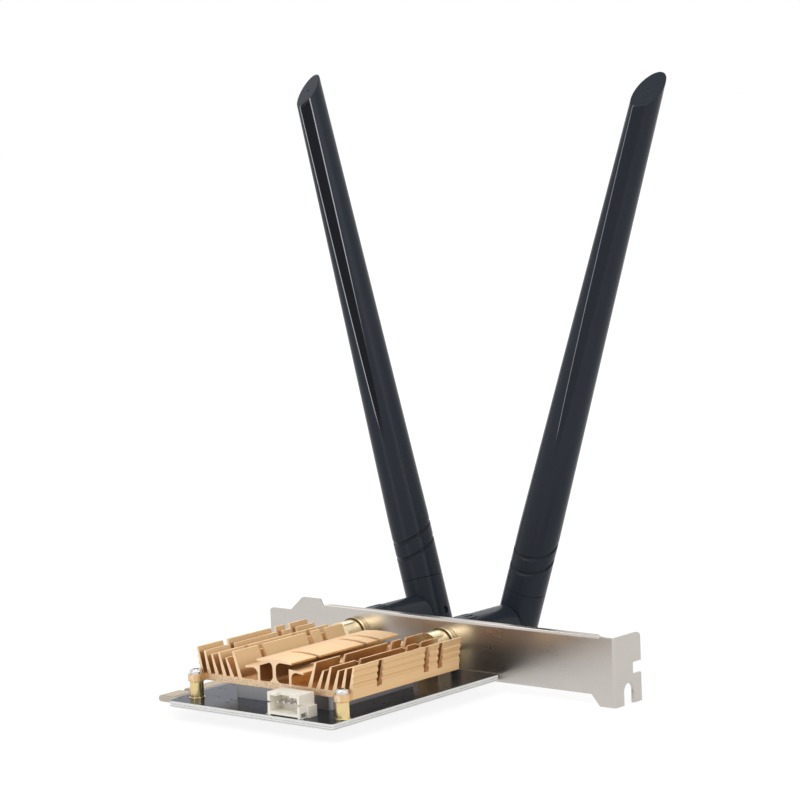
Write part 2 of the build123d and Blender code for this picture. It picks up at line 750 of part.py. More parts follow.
tail_end = board_bottom - lead_protrusion
insulator_front = jack_front - jack_insulator_setback
insulator_diameter = jack_bore_diameter - 2 * running_clearance
contact_hole = contact_diameter + 2 * running_clearance
tail_well = tail_insulator_diameter + 2 * running_clearance
for side, jack_x in jack_positions.items():
    tail_plane = Plane(origin=(jack_x, contact_tail_row, board_top), x_dir=(1, 0, 0), z_dir=(0, 0, 1))

    # Jack body: a threaded barrel with a flange, on a block with four solder legs
    with BuildPart() as jack_body:
        with BuildSketch(Plane.XY.offset(board_top)):
            with Locations((jack_x, jack_centre_row)):
                Rectangle(jack_block_width, jack_barrel_length)
        extrude(amount=jack_height - board_top)
        for start, stop, diameter in (
            (jack_rear, jack_flange_rear, jack_barrel_diameter),
            (jack_flange_rear, bracket_reach - lock_washer_thickness, jack_flange_diameter),
            (bracket_reach - lock_washer_thickness, jack_front, jack_thread_diameter),
        ):
            with BuildSketch(jack_plane(side, start)):
                Circle(diameter / 2)
            extrude(amount=stop - start)
        flange_rims = jack_body.edges().filter_by(GeomType.CIRCLE).group_by(SortBy.RADIUS)[-1]
        chamfer(flange_rims.sort_by(Axis.Y)[-1], length=rim_chamfer)
        with BuildSketch(jack_plane(side, contact_tail_row - jack_bore_diameter / 2)):
            Circle(jack_bore_diameter / 2)
        extrude(amount=jack_front - contact_tail_row + jack_bore_diameter / 2, mode=Mode.SUBTRACT)
        with BuildSketch(tail_plane):
            Circle(tail_well / 2)
        extrude(amount=jack_height - board_top, mode=Mode.SUBTRACT)
        with BuildSketch(Plane.XY.offset(board_top)):
            with Locations((jack_x, jack_centre_row)):
                with GridLocations(jack_leg_spread, jack_leg_row, 2, 2):
                    Circle(jack_leg_diameter / 2)
        extrude(amount=tail_end - board_top)
    jack_body.part.label = f"{side}_jack_body"
    export_step(jack_body.part, f"parts/{side}_jack_body.step")

    # Jack insulator: a plug in the bore with a leg down to the board
    with BuildPart() as jack_insulator:
        with BuildSketch(jack_plane(side, contact_tail_row - insulator_diameter / 2)):
            Circle(insulator_diameter / 2)
        extrude(amount=insulator_front - contact_tail_row + insulator_diameter / 2)
        with BuildSketch(tail_plane):
            Circle(tail_insulator_diameter / 2)
        extrude(amount=jack_height - board_top)
        with BuildSketch(jack_plane(side, contact_tail_row)):
            Circle(contact_hole / 2)
        extrude(amount=insulator_front - contact_tail_row, mode=Mode.SUBTRACT)
        with BuildSketch(tail_plane):
            Circle(contact_hole / 2)
        extrude(amount=jack_height - board_top + contact_hole / 2, mode=Mode.SUBTRACT)
    jack_insulator.part.label = f"{side}_jack_insulator"
    export_step(jack_insulator.part, f"parts/{side}_jack_insulator.step")

    # Jack contact: a pin along the barrel with its tail through the board
    with BuildPart() as jack_contact:
        with BuildSketch(jack_plane(side, contact_tail_row)):
            Circle(contact_diameter / 2)
        extrude(amount=jack_front - contact_setback - contact_tail_row)
        with BuildSketch(tail_plane.offset(tail_end - board_top)):
            Circle(contact_diameter / 2)
        extrude(amount=jack_height - tail_end)
        with Locations((jack_x, contact_tail_row, jack_height)):
            Sphere(contact_diameter / 2)
    jack_contact.part.label = f"{side}_jack_contact"
    export_step(jack_contact.part, f"parts/{side}_jack_contact.step")

    # Lock washer inside the bracket and hexagon nut outside it
    with BuildPart() as lock_washer:
        with BuildSketch(jack_plane(side, bracket_reach - lock_washer_thickness)):
            Circle(jack_flange_diameter / 2)
            Circle(thread_hole / 2, mode=Mode.SUBTRACT)
        extrude(amount=lock_washer_thickness)
        washer_rims = lock_washer.edges().filter_by(GeomType.CIRCLE).group_by(SortBy.RADIUS)[-1]
        chamfer(washer_rims, length=rim_chamfer)
    lock_washer.part.label = f"{side}_lock_washer"
    export_step(lock_washer.part, f"parts/{side}_lock_washer.step")

    with BuildPart() as jack_nut:
        with BuildSketch(jack_plane(side, bracket_outer)):
            RegularPolygon(nut_across_flats / 2, 6, major_radius=False)
            Circle(jack_thread_diameter / 2 + running_clearance, mode=Mode.SUBTRACT)
        extrude(amount=nut_thickness)
    jack_nut.part.label = f"{side}_jack_nut"
    export_step(jack_nut.part, f"parts/{side}_jack_nut.step")

    # Coupling nut: threaded over the jack, with a lip that holds the plug's flange
    thread_bore = jack_thread_diameter + 2 * running_clearance
    lip_bore = plug_stem_diameter + 2 * running_clearance
    with BuildPart() as coupling_nut:
        with BuildSketch(jack_plane(side, collar_front)):
            Circle(coupling_nut_diameter / 2)
            Circle(thread_bore / 2, mode=Mode.SUBTRACT)
        extrude(amount=plug_flange_rear - collar_front)
        with BuildSketch(jack_plane(side, plug_flange_rear)):
            Circle(coupling_nut_diameter / 2)
            Circle(lip_bore / 2, mode=Mode.SUBTRACT)
        extrude(amount=coupling_lip)
    coupling_nut.part.label = f"{side}_coupling_nut"
    export_step(coupling_nut.part, f"parts/{side}_coupling_nut.step")

    # Collar: the moulded grip over the coupling nut, domed towards the bracket
    collar_bore = coupling_nut_diameter / 2 + running_clearance
    with BuildPart() as collar:
        with BuildSketch(Plane(origin=(jack_x, 0, jack_height), x_dir=(1, 0, 0), z_dir=(0, 0, 1))):
            with BuildLine():
                Polyline(
                    (collar_diameter / 2, collar_front + collar_dome),
                    (collar_diameter / 2, collar_rear),
                    (lip_bore / 2, collar_rear),
                    (lip_bore / 2, plug_flange_rear + coupling_lip),
                    (collar_bore, plug_flange_rear + coupling_lip),
                    (collar_bore, collar_front),
                    (collar_front_diameter / 2, collar_front),
                )
                TangentArc(
                    (collar_diameter / 2, collar_front + collar_dome),
                    (collar_front_diameter / 2, collar_front),
                    tangent=(0, -1),
                )
            make_face()
        revolve(axis=Axis((jack_x, 0, jack_height), (0, 1, 0)))
    collar.part.label = f"{side}_collar"
    export_step(collar.part, f"parts/{side}_collar.step")

    # Plug stem: a flanged tube that the knuckle turns on, with its insulator and contact
    with BuildPart() as plug_stem:
        for start, stop, diameter in (
            (plug_flange_front, plug_flange_rear, jack_thread_diameter),
            (plug_flange_rear, plug_stem_rear, plug_stem_diameter),
        ):
            with BuildSketch(jack_plane(side, start)):
                Circle(diameter / 2)
                Circle(plug_bore_diameter / 2, mode=Mode.SUBTRACT)
            extrude(amount=stop - start)
    plug_stem.part.label = f"{side}_plug_stem"
    export_step(plug_stem.part, f"parts/{side}_plug_stem.step")

    with BuildPart() as plug_insulator:
        with BuildSketch(jack_plane(side, plug_flange_front)):
            Circle(plug_bore_diameter / 2 - running_clearance)
            Circle(plug_contact_diameter / 2 + running_clearance, mode=Mode.SUBTRACT)
        extrude(amount=plug_stem_rear - plug_flange_front)
    plug_insulator.part.label = f"{side}_plug_insulator"
    export_step(plug_insulator.part, f"parts/{side}_plug_insulator.step")

    with BuildPart() as plug_contact:
        with BuildSketch(jack_plane(side, jack_front - plug_contact_reach)):
            Circle(plug_contact_diameter / 2)
        extrude(amount=plug_stem_rear - jack_front + plug_contact_reach)
        with BuildSketch(jack_plane(side, jack_front - plug_contact_reach)):
            Circle(contact_hole / 2)
        extrude(amount=2 * plug_contact_reach, mode=Mode.SUBTRACT)
    plug_contact.part.label = f"{side}_plug_contact"
    export_step(plug_contact.part, f"parts/{side}_plug_contact.step")

    # Knuckle: a barrel that turns on the plug stem and carries the hinge tongue
    turning_bore = plug_stem_diameter + 2 * running_clearance
    pin_bore = hinge_pin_diameter + 2 * running_clearance
    with BuildPart() as knuckle:
        with BuildSketch(jack_plane(side, knuckle_front)):
            Circle(knuckle_diameter / 2)
        extrude(amount=knuckle_length)
        with BuildSketch(jack_plane(side, knuckle_front)):
            Circle(turning_bore / 2)
        extrude(amount=plug_stem_rear + face_gap - knuckle_front, mode=Mode.SUBTRACT)
        with BuildSketch(hinge_plane(side)):
            Circle(hinge_tongue_radius)
            Rectangle(pivot_shoulder + face_gap, 2 * hinge_tongue_radius, align=(Align.MAX, Align.CENTER))
        extrude(amount=hinge_tongue_width / 2, both=True)
        with BuildSketch(hinge_plane(side)):
            Circle(pin_bore / 2)
        extrude(amount=hinge_tongue_width, both=True, mode=Mode.SUBTRACT)
    knuckle.part.label = f"{side}_knuckle"
    export_step(knuckle.part, f"parts/{side}_knuckle.step")

    # Hinge pin through the knuckle's tongue and the mast's two cheeks
    with BuildPart() as hinge_pin:
        with BuildSketch(hinge_plane(side)):
            Circle(hinge_pin_diameter / 2)
        extrude(amount=mast_radius - hinge_pin_inset, both=True)
    hinge_pin.part.label = f"{side}_hinge_pin"
    export_step(hinge_pin.part, f"parts/{side}_hinge_pin.step")

    # Mast socket: two rounded cheeks around the hinge tongue and a spigot for the shell
    spigot_radius = mast_radius - spigot_wall
    spigot_top = seam_height + spigot_height
    fork_gap = hinge_tongue_width + 2 * running_clearance
    fork_top = hinge_tongue_radius + face_gap
    with BuildPart() as mast_socket:
        with BuildSketch(mast_plane(side, -mast_radius)):
            Circle(mast_radius)
        extrude(amount=mast_radius + seam_height)
        with BuildSketch(hinge_plane(side)):
            Circle(mast_radius)
            Rectangle(mast_diameter, seam_height, align=(Align.CENTER, Align.MIN))
        extrude(amount=mast_diameter, both=True, mode=Mode.INTERSECT)
        with BuildSketch(hinge_plane(side)):
            with Locations((0, fork_top)):
                Rectangle(2 * mast_diameter, 2 * mast_diameter, align=(Align.CENTER, Align.MAX))
        extrude(amount=fork_gap / 2, both=True, mode=Mode.SUBTRACT)
        with BuildSketch(mast_plane(side, seam_height)):
            Circle(spigot_radius)
        extrude(amount=spigot_height)
        with BuildSketch(hinge_plane(side)):
            Circle(pin_bore / 2)
        extrude(amount=mast_diameter, both=True, mode=Mode.SUBTRACT)
    mast_socket.part.label = f"{side}_mast_socket"
    export_step(mast_socket.part, f"parts/{side}_mast_socket.step")

    # Mast shell: round at its foot, drawn out to a flattened oval and cut off on a slope
    tip_rise = tan(radians(tip_slope))
    tip_level = mast_length + tip_half_depth * tip_rise
    bore_end = spigot_top + radiator_length + face_gap
    with BuildPart() as mast_shell:
        with BuildSketch(mast_plane(side, seam_height)):
            Circle(mast_radius)
        extrude(amount=mast_straight - seam_height)
        with BuildSketch(mast_plane(side, mast_straight)):
            Ellipse(mast_radius, mast_radius)
        with BuildSketch(mast_plane(side, tip_level)):
            Ellipse(tip_half_width, tip_half_depth)
        loft()
        with BuildSketch(hinge_plane(side)):
            with BuildLine():
                Polyline(
                    (-mast_diameter, mast_length - mast_diameter * tip_rise),
                    (mast_diameter, mast_length + mast_diameter * tip_rise),
                    (-mast_diameter, mast_length + mast_diameter * tip_rise),
                    close=True,
                )
            make_face()
        extrude(amount=mast_diameter, both=True, mode=Mode.SUBTRACT)
        facet_share = (facet_foot_height - mast_straight) / (tip_level - mast_straight)
        facet_foot = mast_radius + facet_share * (tip_half_depth - mast_radius)
        with BuildSketch(hinge_plane(side)):
            with BuildLine():
                Polyline(
                    (-facet_foot, facet_foot_height),
                    (facet_depth - tip_half_depth, tip_level),
                    (-mast_diameter, tip_level),
                    (-mast_diameter, facet_foot_height),
                    close=True,
                )
            make_face()
        extrude(amount=mast_diameter, both=True, mode=Mode.SUBTRACT)
        groove_radius = mast_radius - groove_depth
        for groove_height in groove_heights:
            tilted = mast_plane(side, groove_height).rotated((groove_tilt, 0, 0))
            with BuildSketch(tilted):
                Circle(mast_diameter)
                Ellipse(groove_radius, groove_radius / cos(radians(groove_tilt)), mode=Mode.SUBTRACT)
            extrude(amount=groove_width / 2, both=True, mode=Mode.SUBTRACT)
        with BuildSketch(mast_plane(side, seam_height)):
            Circle(spigot_radius + running_clearance)
        extrude(amount=spigot_height, mode=Mode.SUBTRACT)
        with BuildSketch(mast_plane(side, spigot_top)):
            Circle(mast_bore_diameter / 2)
        extrude(amount=bore_end - spigot_top, mode=Mode.SUBTRACT)
        tip_plane = mast_plane(side, mast_length).rotated((tip_slope, 0, 0))
        with BuildSketch(tip_plane):
            Circle(gate_mark_diameter / 2)
        extrude(amount=-gate_mark_depth, mode=Mode.SUBTRACT)
    mast_shell.part.label = f"{side}_mast_shell"
    export_step(mast_shell.part, f"parts/{side}_mast_shell.step")

    # Radiator: a sleeve and a rod standing on the socket's spigot inside the shell
    with BuildPart() as radiator:
        with BuildSketch(mast_plane(side, spigot_top)):
            Circle(mast_bore_diameter / 2 - running_clearance)
        extrude(amount=radiator_sleeve_length)
        with BuildSketch(mast_plane(side, spigot_top)):
            Circle(radiator_rod_diameter / 2)
        extrude(amount=radiator_length)
    radiator.part.label = f"{side}_radiator"
    export_step(radiator.part, f"parts/{side}_radiator.step")
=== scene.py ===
"""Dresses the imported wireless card: smooth antennas, solder joints, finishes and a plain studio."""

import json
from math import cos, pi, radians, sin, tan

import bpy
import numpy as np
from bpy.props import FloatProperty, FloatVectorProperty, IntProperty, PointerProperty
from mathutils import Matrix, Vector

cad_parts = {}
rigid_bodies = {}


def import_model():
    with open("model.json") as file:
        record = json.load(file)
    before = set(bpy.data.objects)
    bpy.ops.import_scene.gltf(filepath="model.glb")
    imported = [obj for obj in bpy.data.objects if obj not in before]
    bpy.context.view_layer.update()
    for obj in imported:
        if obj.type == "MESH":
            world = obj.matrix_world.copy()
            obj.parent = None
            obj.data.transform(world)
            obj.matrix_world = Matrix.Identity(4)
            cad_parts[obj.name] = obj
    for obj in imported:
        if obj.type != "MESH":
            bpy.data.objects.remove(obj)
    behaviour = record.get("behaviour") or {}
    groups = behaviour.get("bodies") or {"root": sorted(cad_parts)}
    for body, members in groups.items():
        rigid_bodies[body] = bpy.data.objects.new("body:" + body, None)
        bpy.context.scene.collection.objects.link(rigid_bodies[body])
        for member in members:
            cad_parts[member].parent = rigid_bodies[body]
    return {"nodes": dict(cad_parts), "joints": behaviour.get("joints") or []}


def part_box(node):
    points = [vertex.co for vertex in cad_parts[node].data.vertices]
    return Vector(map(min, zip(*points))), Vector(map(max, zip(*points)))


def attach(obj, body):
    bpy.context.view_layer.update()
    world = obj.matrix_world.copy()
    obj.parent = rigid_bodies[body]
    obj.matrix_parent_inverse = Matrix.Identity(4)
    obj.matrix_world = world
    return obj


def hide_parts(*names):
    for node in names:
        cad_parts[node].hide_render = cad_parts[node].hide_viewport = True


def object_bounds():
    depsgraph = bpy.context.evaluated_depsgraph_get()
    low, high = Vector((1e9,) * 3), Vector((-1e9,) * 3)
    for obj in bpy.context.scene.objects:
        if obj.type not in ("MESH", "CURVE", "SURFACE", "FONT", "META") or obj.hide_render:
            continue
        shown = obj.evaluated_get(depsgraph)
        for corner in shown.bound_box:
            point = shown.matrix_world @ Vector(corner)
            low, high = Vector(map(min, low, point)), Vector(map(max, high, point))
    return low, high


bl_info = {
    "name": "Wireless card",
    "version": (1, 0, 0),
    "blender": (4, 5, 0),
    "location": "View3D > Sidebar > Wireless card",
    "description": "Dresses a packed wireless card with smooth antennas, finishes and a studio",
    "category": "Object",
}

for leftover in list(bpy.data.objects):
    bpy.data.objects.remove(leftover)

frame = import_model()
NODES = frame["nodes"]
CAD_LOW, CAD_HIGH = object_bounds()
MM = 0.001
SIDES = ("left", "right")
# Shares of the painted dark reflection on the flat, which also makes it less rough, and of the painted
# highlights on its near and far edge, for each antenna; the two antennas are painted differently.
FLAT_PAINTED_LIGHT = {"left": (0.85, 0.9, 0.9), "right": (0.3, 0.62, 0.0)}
# Smallest half angle of the flat's columns, for rows below the flat.
LEAST_FLAT_ANGLE = 0.05
# Corners of a CAD node this close to its end count as lying on the end.
TOUCH = 0.01 * MM
# Height between two rows along the mast, and how often a sloping row's height is worked out again.
ROW_STEP = 1.2 * MM
SLOPE_PASSES = 4
# Insets across a ring groove, as shares of its depth.
GROOVE_INSETS = (0.0, 0.08, 0.75, 1.0, 1.0, 0.75, 0.08, 0.0)
# Rows of the tip's rounded edge: drop below the cut and inset, as shares of the rounding.
TIP_DROPS = (1.2, 0.5, 0.12, 0.0)
TIP_INSETS = (0.0, 0.12, 0.5, 1.0)
# Rings on the tip's cut, as shares of its outline.
TIP_RINGS = (0.86, 0.66, 0.46)
# Rings of the moulding mark, as shares of its radius and of its depth.
GATE_RADII = (1.12, 1.0, 0.92, 0.9)
GATE_DEPTHS = (0.0, 0.08, 0.9, 1.0)
# Rows of the collar's rounded rim: inset and way along, as shares of the rounding.
RIM_INSETS = (0.08, 0.4, 1.0)
RIM_STEPS = (0.4, 0.8, 1.0)
COLLAR_ROWS = 14
FLUTE_COLUMNS = 12
SOLDER_ROWS = 9
SOLDER_COLUMNS = 24


def antenna_axes(side):
    """Hinge point and the mast's own x, y and z directions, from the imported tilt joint."""
    joint = next(row for row in frame["joints"] if row["name"] == f"{side}_tilt")
    across = -np.array(joint["axis"])
    forward = np.array((0.0, 1.0, 0.0))
    return np.array(joint["pos_m"]), np.stack((across, forward, np.cross(across, forward)))


def node_points(name):
    """All corner points of a CAD node, as one array."""
    points = np.empty(3 * len(NODES[name].data.vertices))
    NODES[name].data.vertices.foreach_get("co", points)
    return points.reshape(-1, 3)


def mast_span():
    """Lowest and highest level of the CAD mast shell above its hinge, and its largest half width."""
    hinge, axes = antenna_axes("left")
    local = (node_points("left_mast_shell") - hinge) @ axes.T
    return local[:, 2].min(), local[:, 2].max(), np.abs(local[:, 1]).max()


SEAM_LEVEL, MAST_TOP, MAST_RADIUS = mast_span()


def length(label, description, default):
    """A length setting, given in millimetres and kept in metres."""
    return FloatProperty(name=label, description=description, default=default * MM, unit="LENGTH", min=0.0)


def angle(label, description, default):
    """An angle setting, given in degrees and kept in radians."""
    return FloatProperty(name=label, description=description, default=radians(default), subtype="ANGLE")


def power(label, description, default):
    """The power of a lamp in watts."""
    return FloatProperty(name=label, description=description, default=default, unit="POWER")


def amount(label, description, default):
    """A plain number that is not below 0."""
    return FloatProperty(name=label, description=description, default=default, min=0.0)


def count(label, description, default, least):
    """A whole number."""
    return IntProperty(name=label, description=description, default=default, min=least)


def colour(label, description, default):
    """A colour setting in linear light."""
    return FloatVectorProperty(
        name=label, description=description, default=default, subtype="COLOR", size=3, min=0.0, max=1.0
    )


class CardColours(bpy.types.PropertyGroup):
    """Main colour of each finish, and the sizes that a finish follows."""

    board: colour("Solder mask", "Glossy lacquer over the circuit board", (0.030, 0.031, 0.034))
    board_edge: colour("Board edge", "Cut glass fibre edge of the board", (0.78, 0.78, 0.76))
    bare_fibre: colour("Bare fibre", "Uncoated board at the bevelled connector edge", (0.46, 0.39, 0.29))
    print: colour("Board print", "Pale printed lines on the board", (0.62, 0.62, 0.60))
    heatsink: colour("Heatsink", "Gold anodised aluminium", (0.71, 0.475, 0.25))
    heatsink_cut: colour("Heatsink cut", "Sawn ends of the heatsink", (0.90, 0.68, 0.46))
    heatsink_base: length("Heatsink base", "Thickness of the heatsink's base, whose ends are pitted", 1.8)
    bracket: colour("Bracket", "Satin nickel on steel", (0.55, 0.515, 0.485))
    brass: colour("Brass", "Turned brass of the spacers", (0.76, 0.60, 0.30))
    gold: colour("Gold plate", "Plating of the jacks and their nuts", (0.84, 0.69, 0.43))
    # The flange's thickness places the painted shadow lines in the gaps beside it.
    flange_thickness: length("Jack flange", "Thickness of each jack's flange, for its dark grooves", 1.2)
    contact: colour("Contacts", "Thin dull plating of the connector's contacts", (0.50, 0.43, 0.32))
    nickel: colour("Nickel", "Bright plating of the screws and pins", (0.66, 0.65, 0.64))
    can: colour("Shield can", "Dull tinned steel", (0.48, 0.48, 0.49))
    header: colour("Header", "Ivory nylon", (0.88, 0.83, 0.73))
    insulator: colour("Insulator", "White plastic of the plugs", (0.82, 0.82, 0.80))
    pad: colour("Thermal pad", "Soft grey silicone", (0.40, 0.42, 0.45))
    chip: colour("Chip", "Moulded black epoxy", (0.018, 0.018, 0.020))
    antenna: colour("Antenna", "Satin blue black plastic", (0.021, 0.026, 0.035))
    # Painted highlight: colour of the pale lines painted along the edges of the mast's flat.
    antenna_edge_highlight: colour("Antenna edges", "Polished edges of the mast's flat", (0.50, 0.50, 0.54))


class AntennaSizes(bpy.types.PropertyGroup):
    """Sizes of the smooth antenna surfaces; the frame gives the overall ones."""

    radius: length("Mast radius", "Radius of the mast at its foot", MAST_RADIUS / MM)
    seam: length("Seam", "Height of the seam above the hinge", SEAM_LEVEL / MM)
    seam_chamfer: length("Seam chamfer", "Bevel at the shell's lower edge", 0.22)
    straight: length("Straight foot", "Height above the hinge at which the taper starts", 28.0)
    top: length("Top", "Height of the tip above the hinge", MAST_TOP / MM + 0.8)
    tip_half_width: length("Tip half width", "Half width of the mast at its tip", 3.5)
    tip_half_depth: length("Tip half depth", "Half depth of the mast at its tip", 4.8)
    tip_slope: angle("Tip slope", "Slope of the cut across the tip", 45.0)
    tip_rounding: length("Tip rounding", "Rounding of the tip's edge", 0.3)
    facet_start: length("Facet start", "Height above the hinge at which the front flat starts", 50.0)
    facet_turn: angle("Facet turn", "Turn of the flat's side about the mast's axis", 25.0)
    # These heights bring up the painted dark reflection on the flat and the painted highlights along its
    # edges.
    facet_fade: length("Facet fade", "Height over which the flat's gloss and near edge come up", 10.0)
    facet_far_fade: length("Far edge fade", "Height over which the flat's far edge comes up", 60.0)
    facet_depth: length("Facet depth", "Depth of the front flat at the tip", 0.6)
    groove_low: length("Lower groove", "Height of the lower ring groove above the hinge", 19.7)
    groove_high: length("Upper groove", "Height of the upper ring groove above the hinge", 24.3)
    groove_tilt: angle("Groove tilt", "Tilt of both ring grooves", 28.0)
    groove_width: length("Groove width", "Width of a ring groove", 0.75)
    groove_depth: length("Groove depth", "Depth of a ring groove", 0.45)
    gate_radius: length("Gate mark radius", "Radius of the moulding mark in the tip", 0.45)
    gate_depth: length("Gate mark depth", "Depth of the moulding mark in the tip", 0.3)
    flat_columns: count("Flat columns", "Steps across the front flat", 8, 2)
    columns: count("Columns", "Steps round the whole mast", 128, 16)
    collar_dome: length("Collar dome", "Length of the collar's domed end", 3.6)
    collar_rim: length("Collar rim", "Rounding of the collar's outer rim", 0.4)
    collar_step: length("Collar step", "Thickness of the collar's inner lip", 0.6)
    grip_count: count("Grip flutes", "Flutes round each collar", 26, 3)
    grip_depth: length("Grip depth", "Depth of a collar flute", 0.22)


class StageSettings(bpy.types.PropertyGroup):
    """Camera, light and floor."""

    lens: FloatProperty(name="Lens", description="Focal length on a 36 mm sensor", default=126.7, min=1.0)
    key_power: power("Key light", "Power of the high soft box", 4.5)
    fill_power: power("Fill lights", "Power of the side and the back soft box", 2.2)
    edge_power: power("Edge light", "Power of the upright strip", 1.6)
    ambient: amount("Ambient", "Even light from all round", 0.45)
    floor_white: amount("Floor white", "Share of light that the floor sends back", 0.9)
    floor_glow: amount("Floor glow", "Strength of the floor's own light", 1.08)
    near_glow: amount("Near glow", "Share of the floor's own light under the card", 0.82)
    glow_rise: amount("Glow rise", "Growth of that share out to the plain white", 0.16)
    floor_size: length("Floor size", "Side of the floor", 12000.0)
    shadow_start: length("Shadow start", "Distance at which the floor's shadow starts to fade", 180.0)
    shadow_end: length("Shadow end", "Distance at which the floor is plain white", 700.0)


class Value:
    """A shader output that can stand in a Python expression; each operator adds one Math node."""

    def __init__(self, nodes, socket):
        self.nodes = nodes
        self.socket = socket

    def maths(self, operation, *terms):
        return self.nodes.add("ShaderNodeMath", {"operation": operation}, dict(enumerate(terms)))

    def __add__(self, other):
        return self.maths("ADD", self, other)

    def __radd__(self, other):
        return self.maths("ADD", other, self)

    def __sub__(self, other):
        return self.maths("SUBTRACT", self, other)

    def __rsub__(self, other):
        return self.maths("SUBTRACT", other, self)

    def __mul__(self, other):
        return self.maths("MULTIPLY", self, other)

    def __rmul__(self, other):
        return self.maths("MULTIPLY", other, self)

    def __abs__(self):
        return self.maths("ABSOLUTE", self)

    def __gt__(self, other):
        return self.maths("GREATER_THAN", self, other)

    def __lt__(self, other):
        return self.maths("LESS_THAN", self, other)

    def ramp(self, low, high):
        """0 at low, 1 at high, smooth between."""
        inputs = {"Value": self, "From Min": low, "From Max": high}
        return self.nodes.add("ShaderNodeMapRange", {"interpolation_type": "SMOOTHSTEP"}, inputs)


class NodeTree:
    """An emptied shader tree to which nodes are added one at a time."""

    def __init__(self, tree):
        self.tree = tree
        self.tree.nodes.clear()

    def add(self, kind, settings=None, inputs=None, output=0):
        """Adds any node: its settings first, then the values or links of its sockets."""
        node = self.tree.nodes.new(kind)
        for key, value in (settings or {}).items():
            setattr(node, key, value)
        for key, value in (inputs or {}).items():
            if isinstance(value, Value):
                self.tree.links.new(value.socket, node.inputs[key])
            else:
                node.inputs[key].default_value = value
        return Value(self, node.outputs[output]) if node.outputs else None

    def seen(self):
        """1 for what the camera sees, straight or in a reflection or through glass, otherwise 0."""
        kinds = ("Is Camera Ray", "Is Glossy Ray", "Is Transmission Ray")
        camera, glossy, through = [self.add("ShaderNodeLightPath", output=kind) for kind in kinds]
        return camera + glossy + through


class Finish(NodeTree):
    """One procedural material on a Principled shader, with places in millimetres."""

    def __init__(self, name):
        self.material = bpy.data.materials.new(name)
        self.material.use_nodes = True
        super().__init__(self.material.node_tree)

    def axes(self, vector):
        """The three parts of a vector."""
        parts = self.add("ShaderNodeSeparateXYZ", None, {0: vector})
        return [Value(self, socket) for socket in parts.socket.node.outputs]

    def place(self):
        """Object coordinates in millimetres."""
        source = self.add("ShaderNodeTexCoord", output="Object")
        return self.add("ShaderNodeVectorMath", {"operation": "SCALE"}, {0: source, "Scale": 1 / MM})

    def facing(self):
        """Parts of the surface's own direction."""
        return self.axes(self.add("ShaderNodeTexCoord", output="Normal"))

    def grain(self, size, stretch=(1.0, 1.0, 1.0), detail=3.0):
        """Noise from 0 to 1 with the given grain in millimetres, stretched along each axis."""
        scale = tuple(1 / (size * part) for part in stretch)
        spot = self.add("ShaderNodeVectorMath", {"operation": "MULTIPLY"}, {0: self.place(), 1: scale})
        return self.add("ShaderNodeTexNoise", None, {"Vector": spot, "Scale": 1.0, "Detail": detail})

    def mix(self, share, first, second):
        """Colour between two colours; 6, 7 and the output 2 are the node's colour sockets."""
        colours = [part if isinstance(part, Value) else (*part, 1.0) for part in (first, second)]
        inputs = {0: share, 6: colours[0], 7: colours[1]}
        return self.add("ShaderNodeMix", {"data_type": "RGBA", "clamp_factor": True}, inputs, output=2)

    def shade(self, tint, amount):
        """A colour made darker or lighter by an amount round 1."""
        grey = self.add("ShaderNodeCombineXYZ", None, {0: amount, 1: amount, 2: amount})
        start = tint if isinstance(tint, Value) else tuple(tint)
        return self.add("ShaderNodeVectorMath", {"operation": "MULTIPLY"}, {0: start, 1: grey})

    def surface(self, base, height, depth, rounding=0.0, **sockets):
        """Principled surface; height is a bump of the given depth, rounding softens edges (millimetres)."""
        bump = {"Height": height, "Distance": depth * MM, "Strength": 1.0}
        if rounding:
            bump["Normal"] = self.add("ShaderNodeBevel", {"samples": 4}, {"Radius": rounding * MM})
        inputs = {"Base Color": base, "Normal": self.add("ShaderNodeBump", None, bump)}
        for name, value in sockets.items():
            inputs[name.replace("_", " ").title().replace("Ior", "IOR")] = value
        shader = self.add("ShaderNodeBsdfPrincipled", None, inputs)
        self.add("ShaderNodeOutputMaterial", None, {"Surface": shader})
        return self.material


def board_finish(colours):
    """Glossy dark lacquer with drilled vias and thin print, a fibre tint on the tongue and a layered edge."""
    finish = Finish("board_lacquer")
    across, _, level = finish.axes(finish.place())
    _, _, up = finish.facing()
    flat = abs(up) > 0.9
    bevel_end, contacts_end, tongue_end = 0.5, 6.2, 6.9
    cells = {"Vector": finish.place(), "Scale": 0.42, "Randomness": 0.85}
    distance = finish.add("ShaderNodeTexVoronoi", None, cells)
    lot, _, _ = finish.axes(finish.add("ShaderNodeTexVoronoi", None, cells, output="Color"))
    vias = (distance < 0.16) * (lot > 0.4)
    bricks = {
        "Vector": finish.place(),
        "Scale": 0.11,
        "Mortar Size": 0.012,
        "Brick Width": 4.3,
        "Row Height": 0.55,
    }
    lanes = finish.add("ShaderNodeTexBrick", {"offset": 0.37, "squash": 1.0}, bricks, output="Fac")
    tongue = (across < contacts_end) * (across > bevel_end)
    mask = finish.mix(0.07 * lanes, colours.board, colours.print)
    mask = finish.mix(0.55 * tongue, mask, colours.bare_fibre)
    fibres = finish.grain(0.22, detail=2.0).ramp(0.42, 0.62)
    dotted = (abs(level - 0.05) < 0.10) * fibres
    lined = abs(level + 0.50) < 0.06
    edge = finish.mix(0.75 * dotted + 0.6 * lined, colours.board_edge, (0.09, 0.09, 0.09))
    edge = finish.mix(0.8 * (across < tongue_end), edge, colours.bare_fibre)
    wash = finish.grain(9.0, detail=2.0)
    rough = 0.14 + 0.12 * wash + 0.45 * (1 - flat) + 0.5 * vias * flat
    height = lanes * 0.5 + vias * -1.0 + (1 - flat) * fibres * 0.6
    return finish.surface(
        finish.mix(flat, edge, mask),
        height,
        0.03,
        rounding=0.05,
        roughness=rough,
        metallic=0.38 * flat * (1 - tongue) * (1 - vias),
        specular_tint=(0.38, 0.42, 0.54, 1.0),
    )


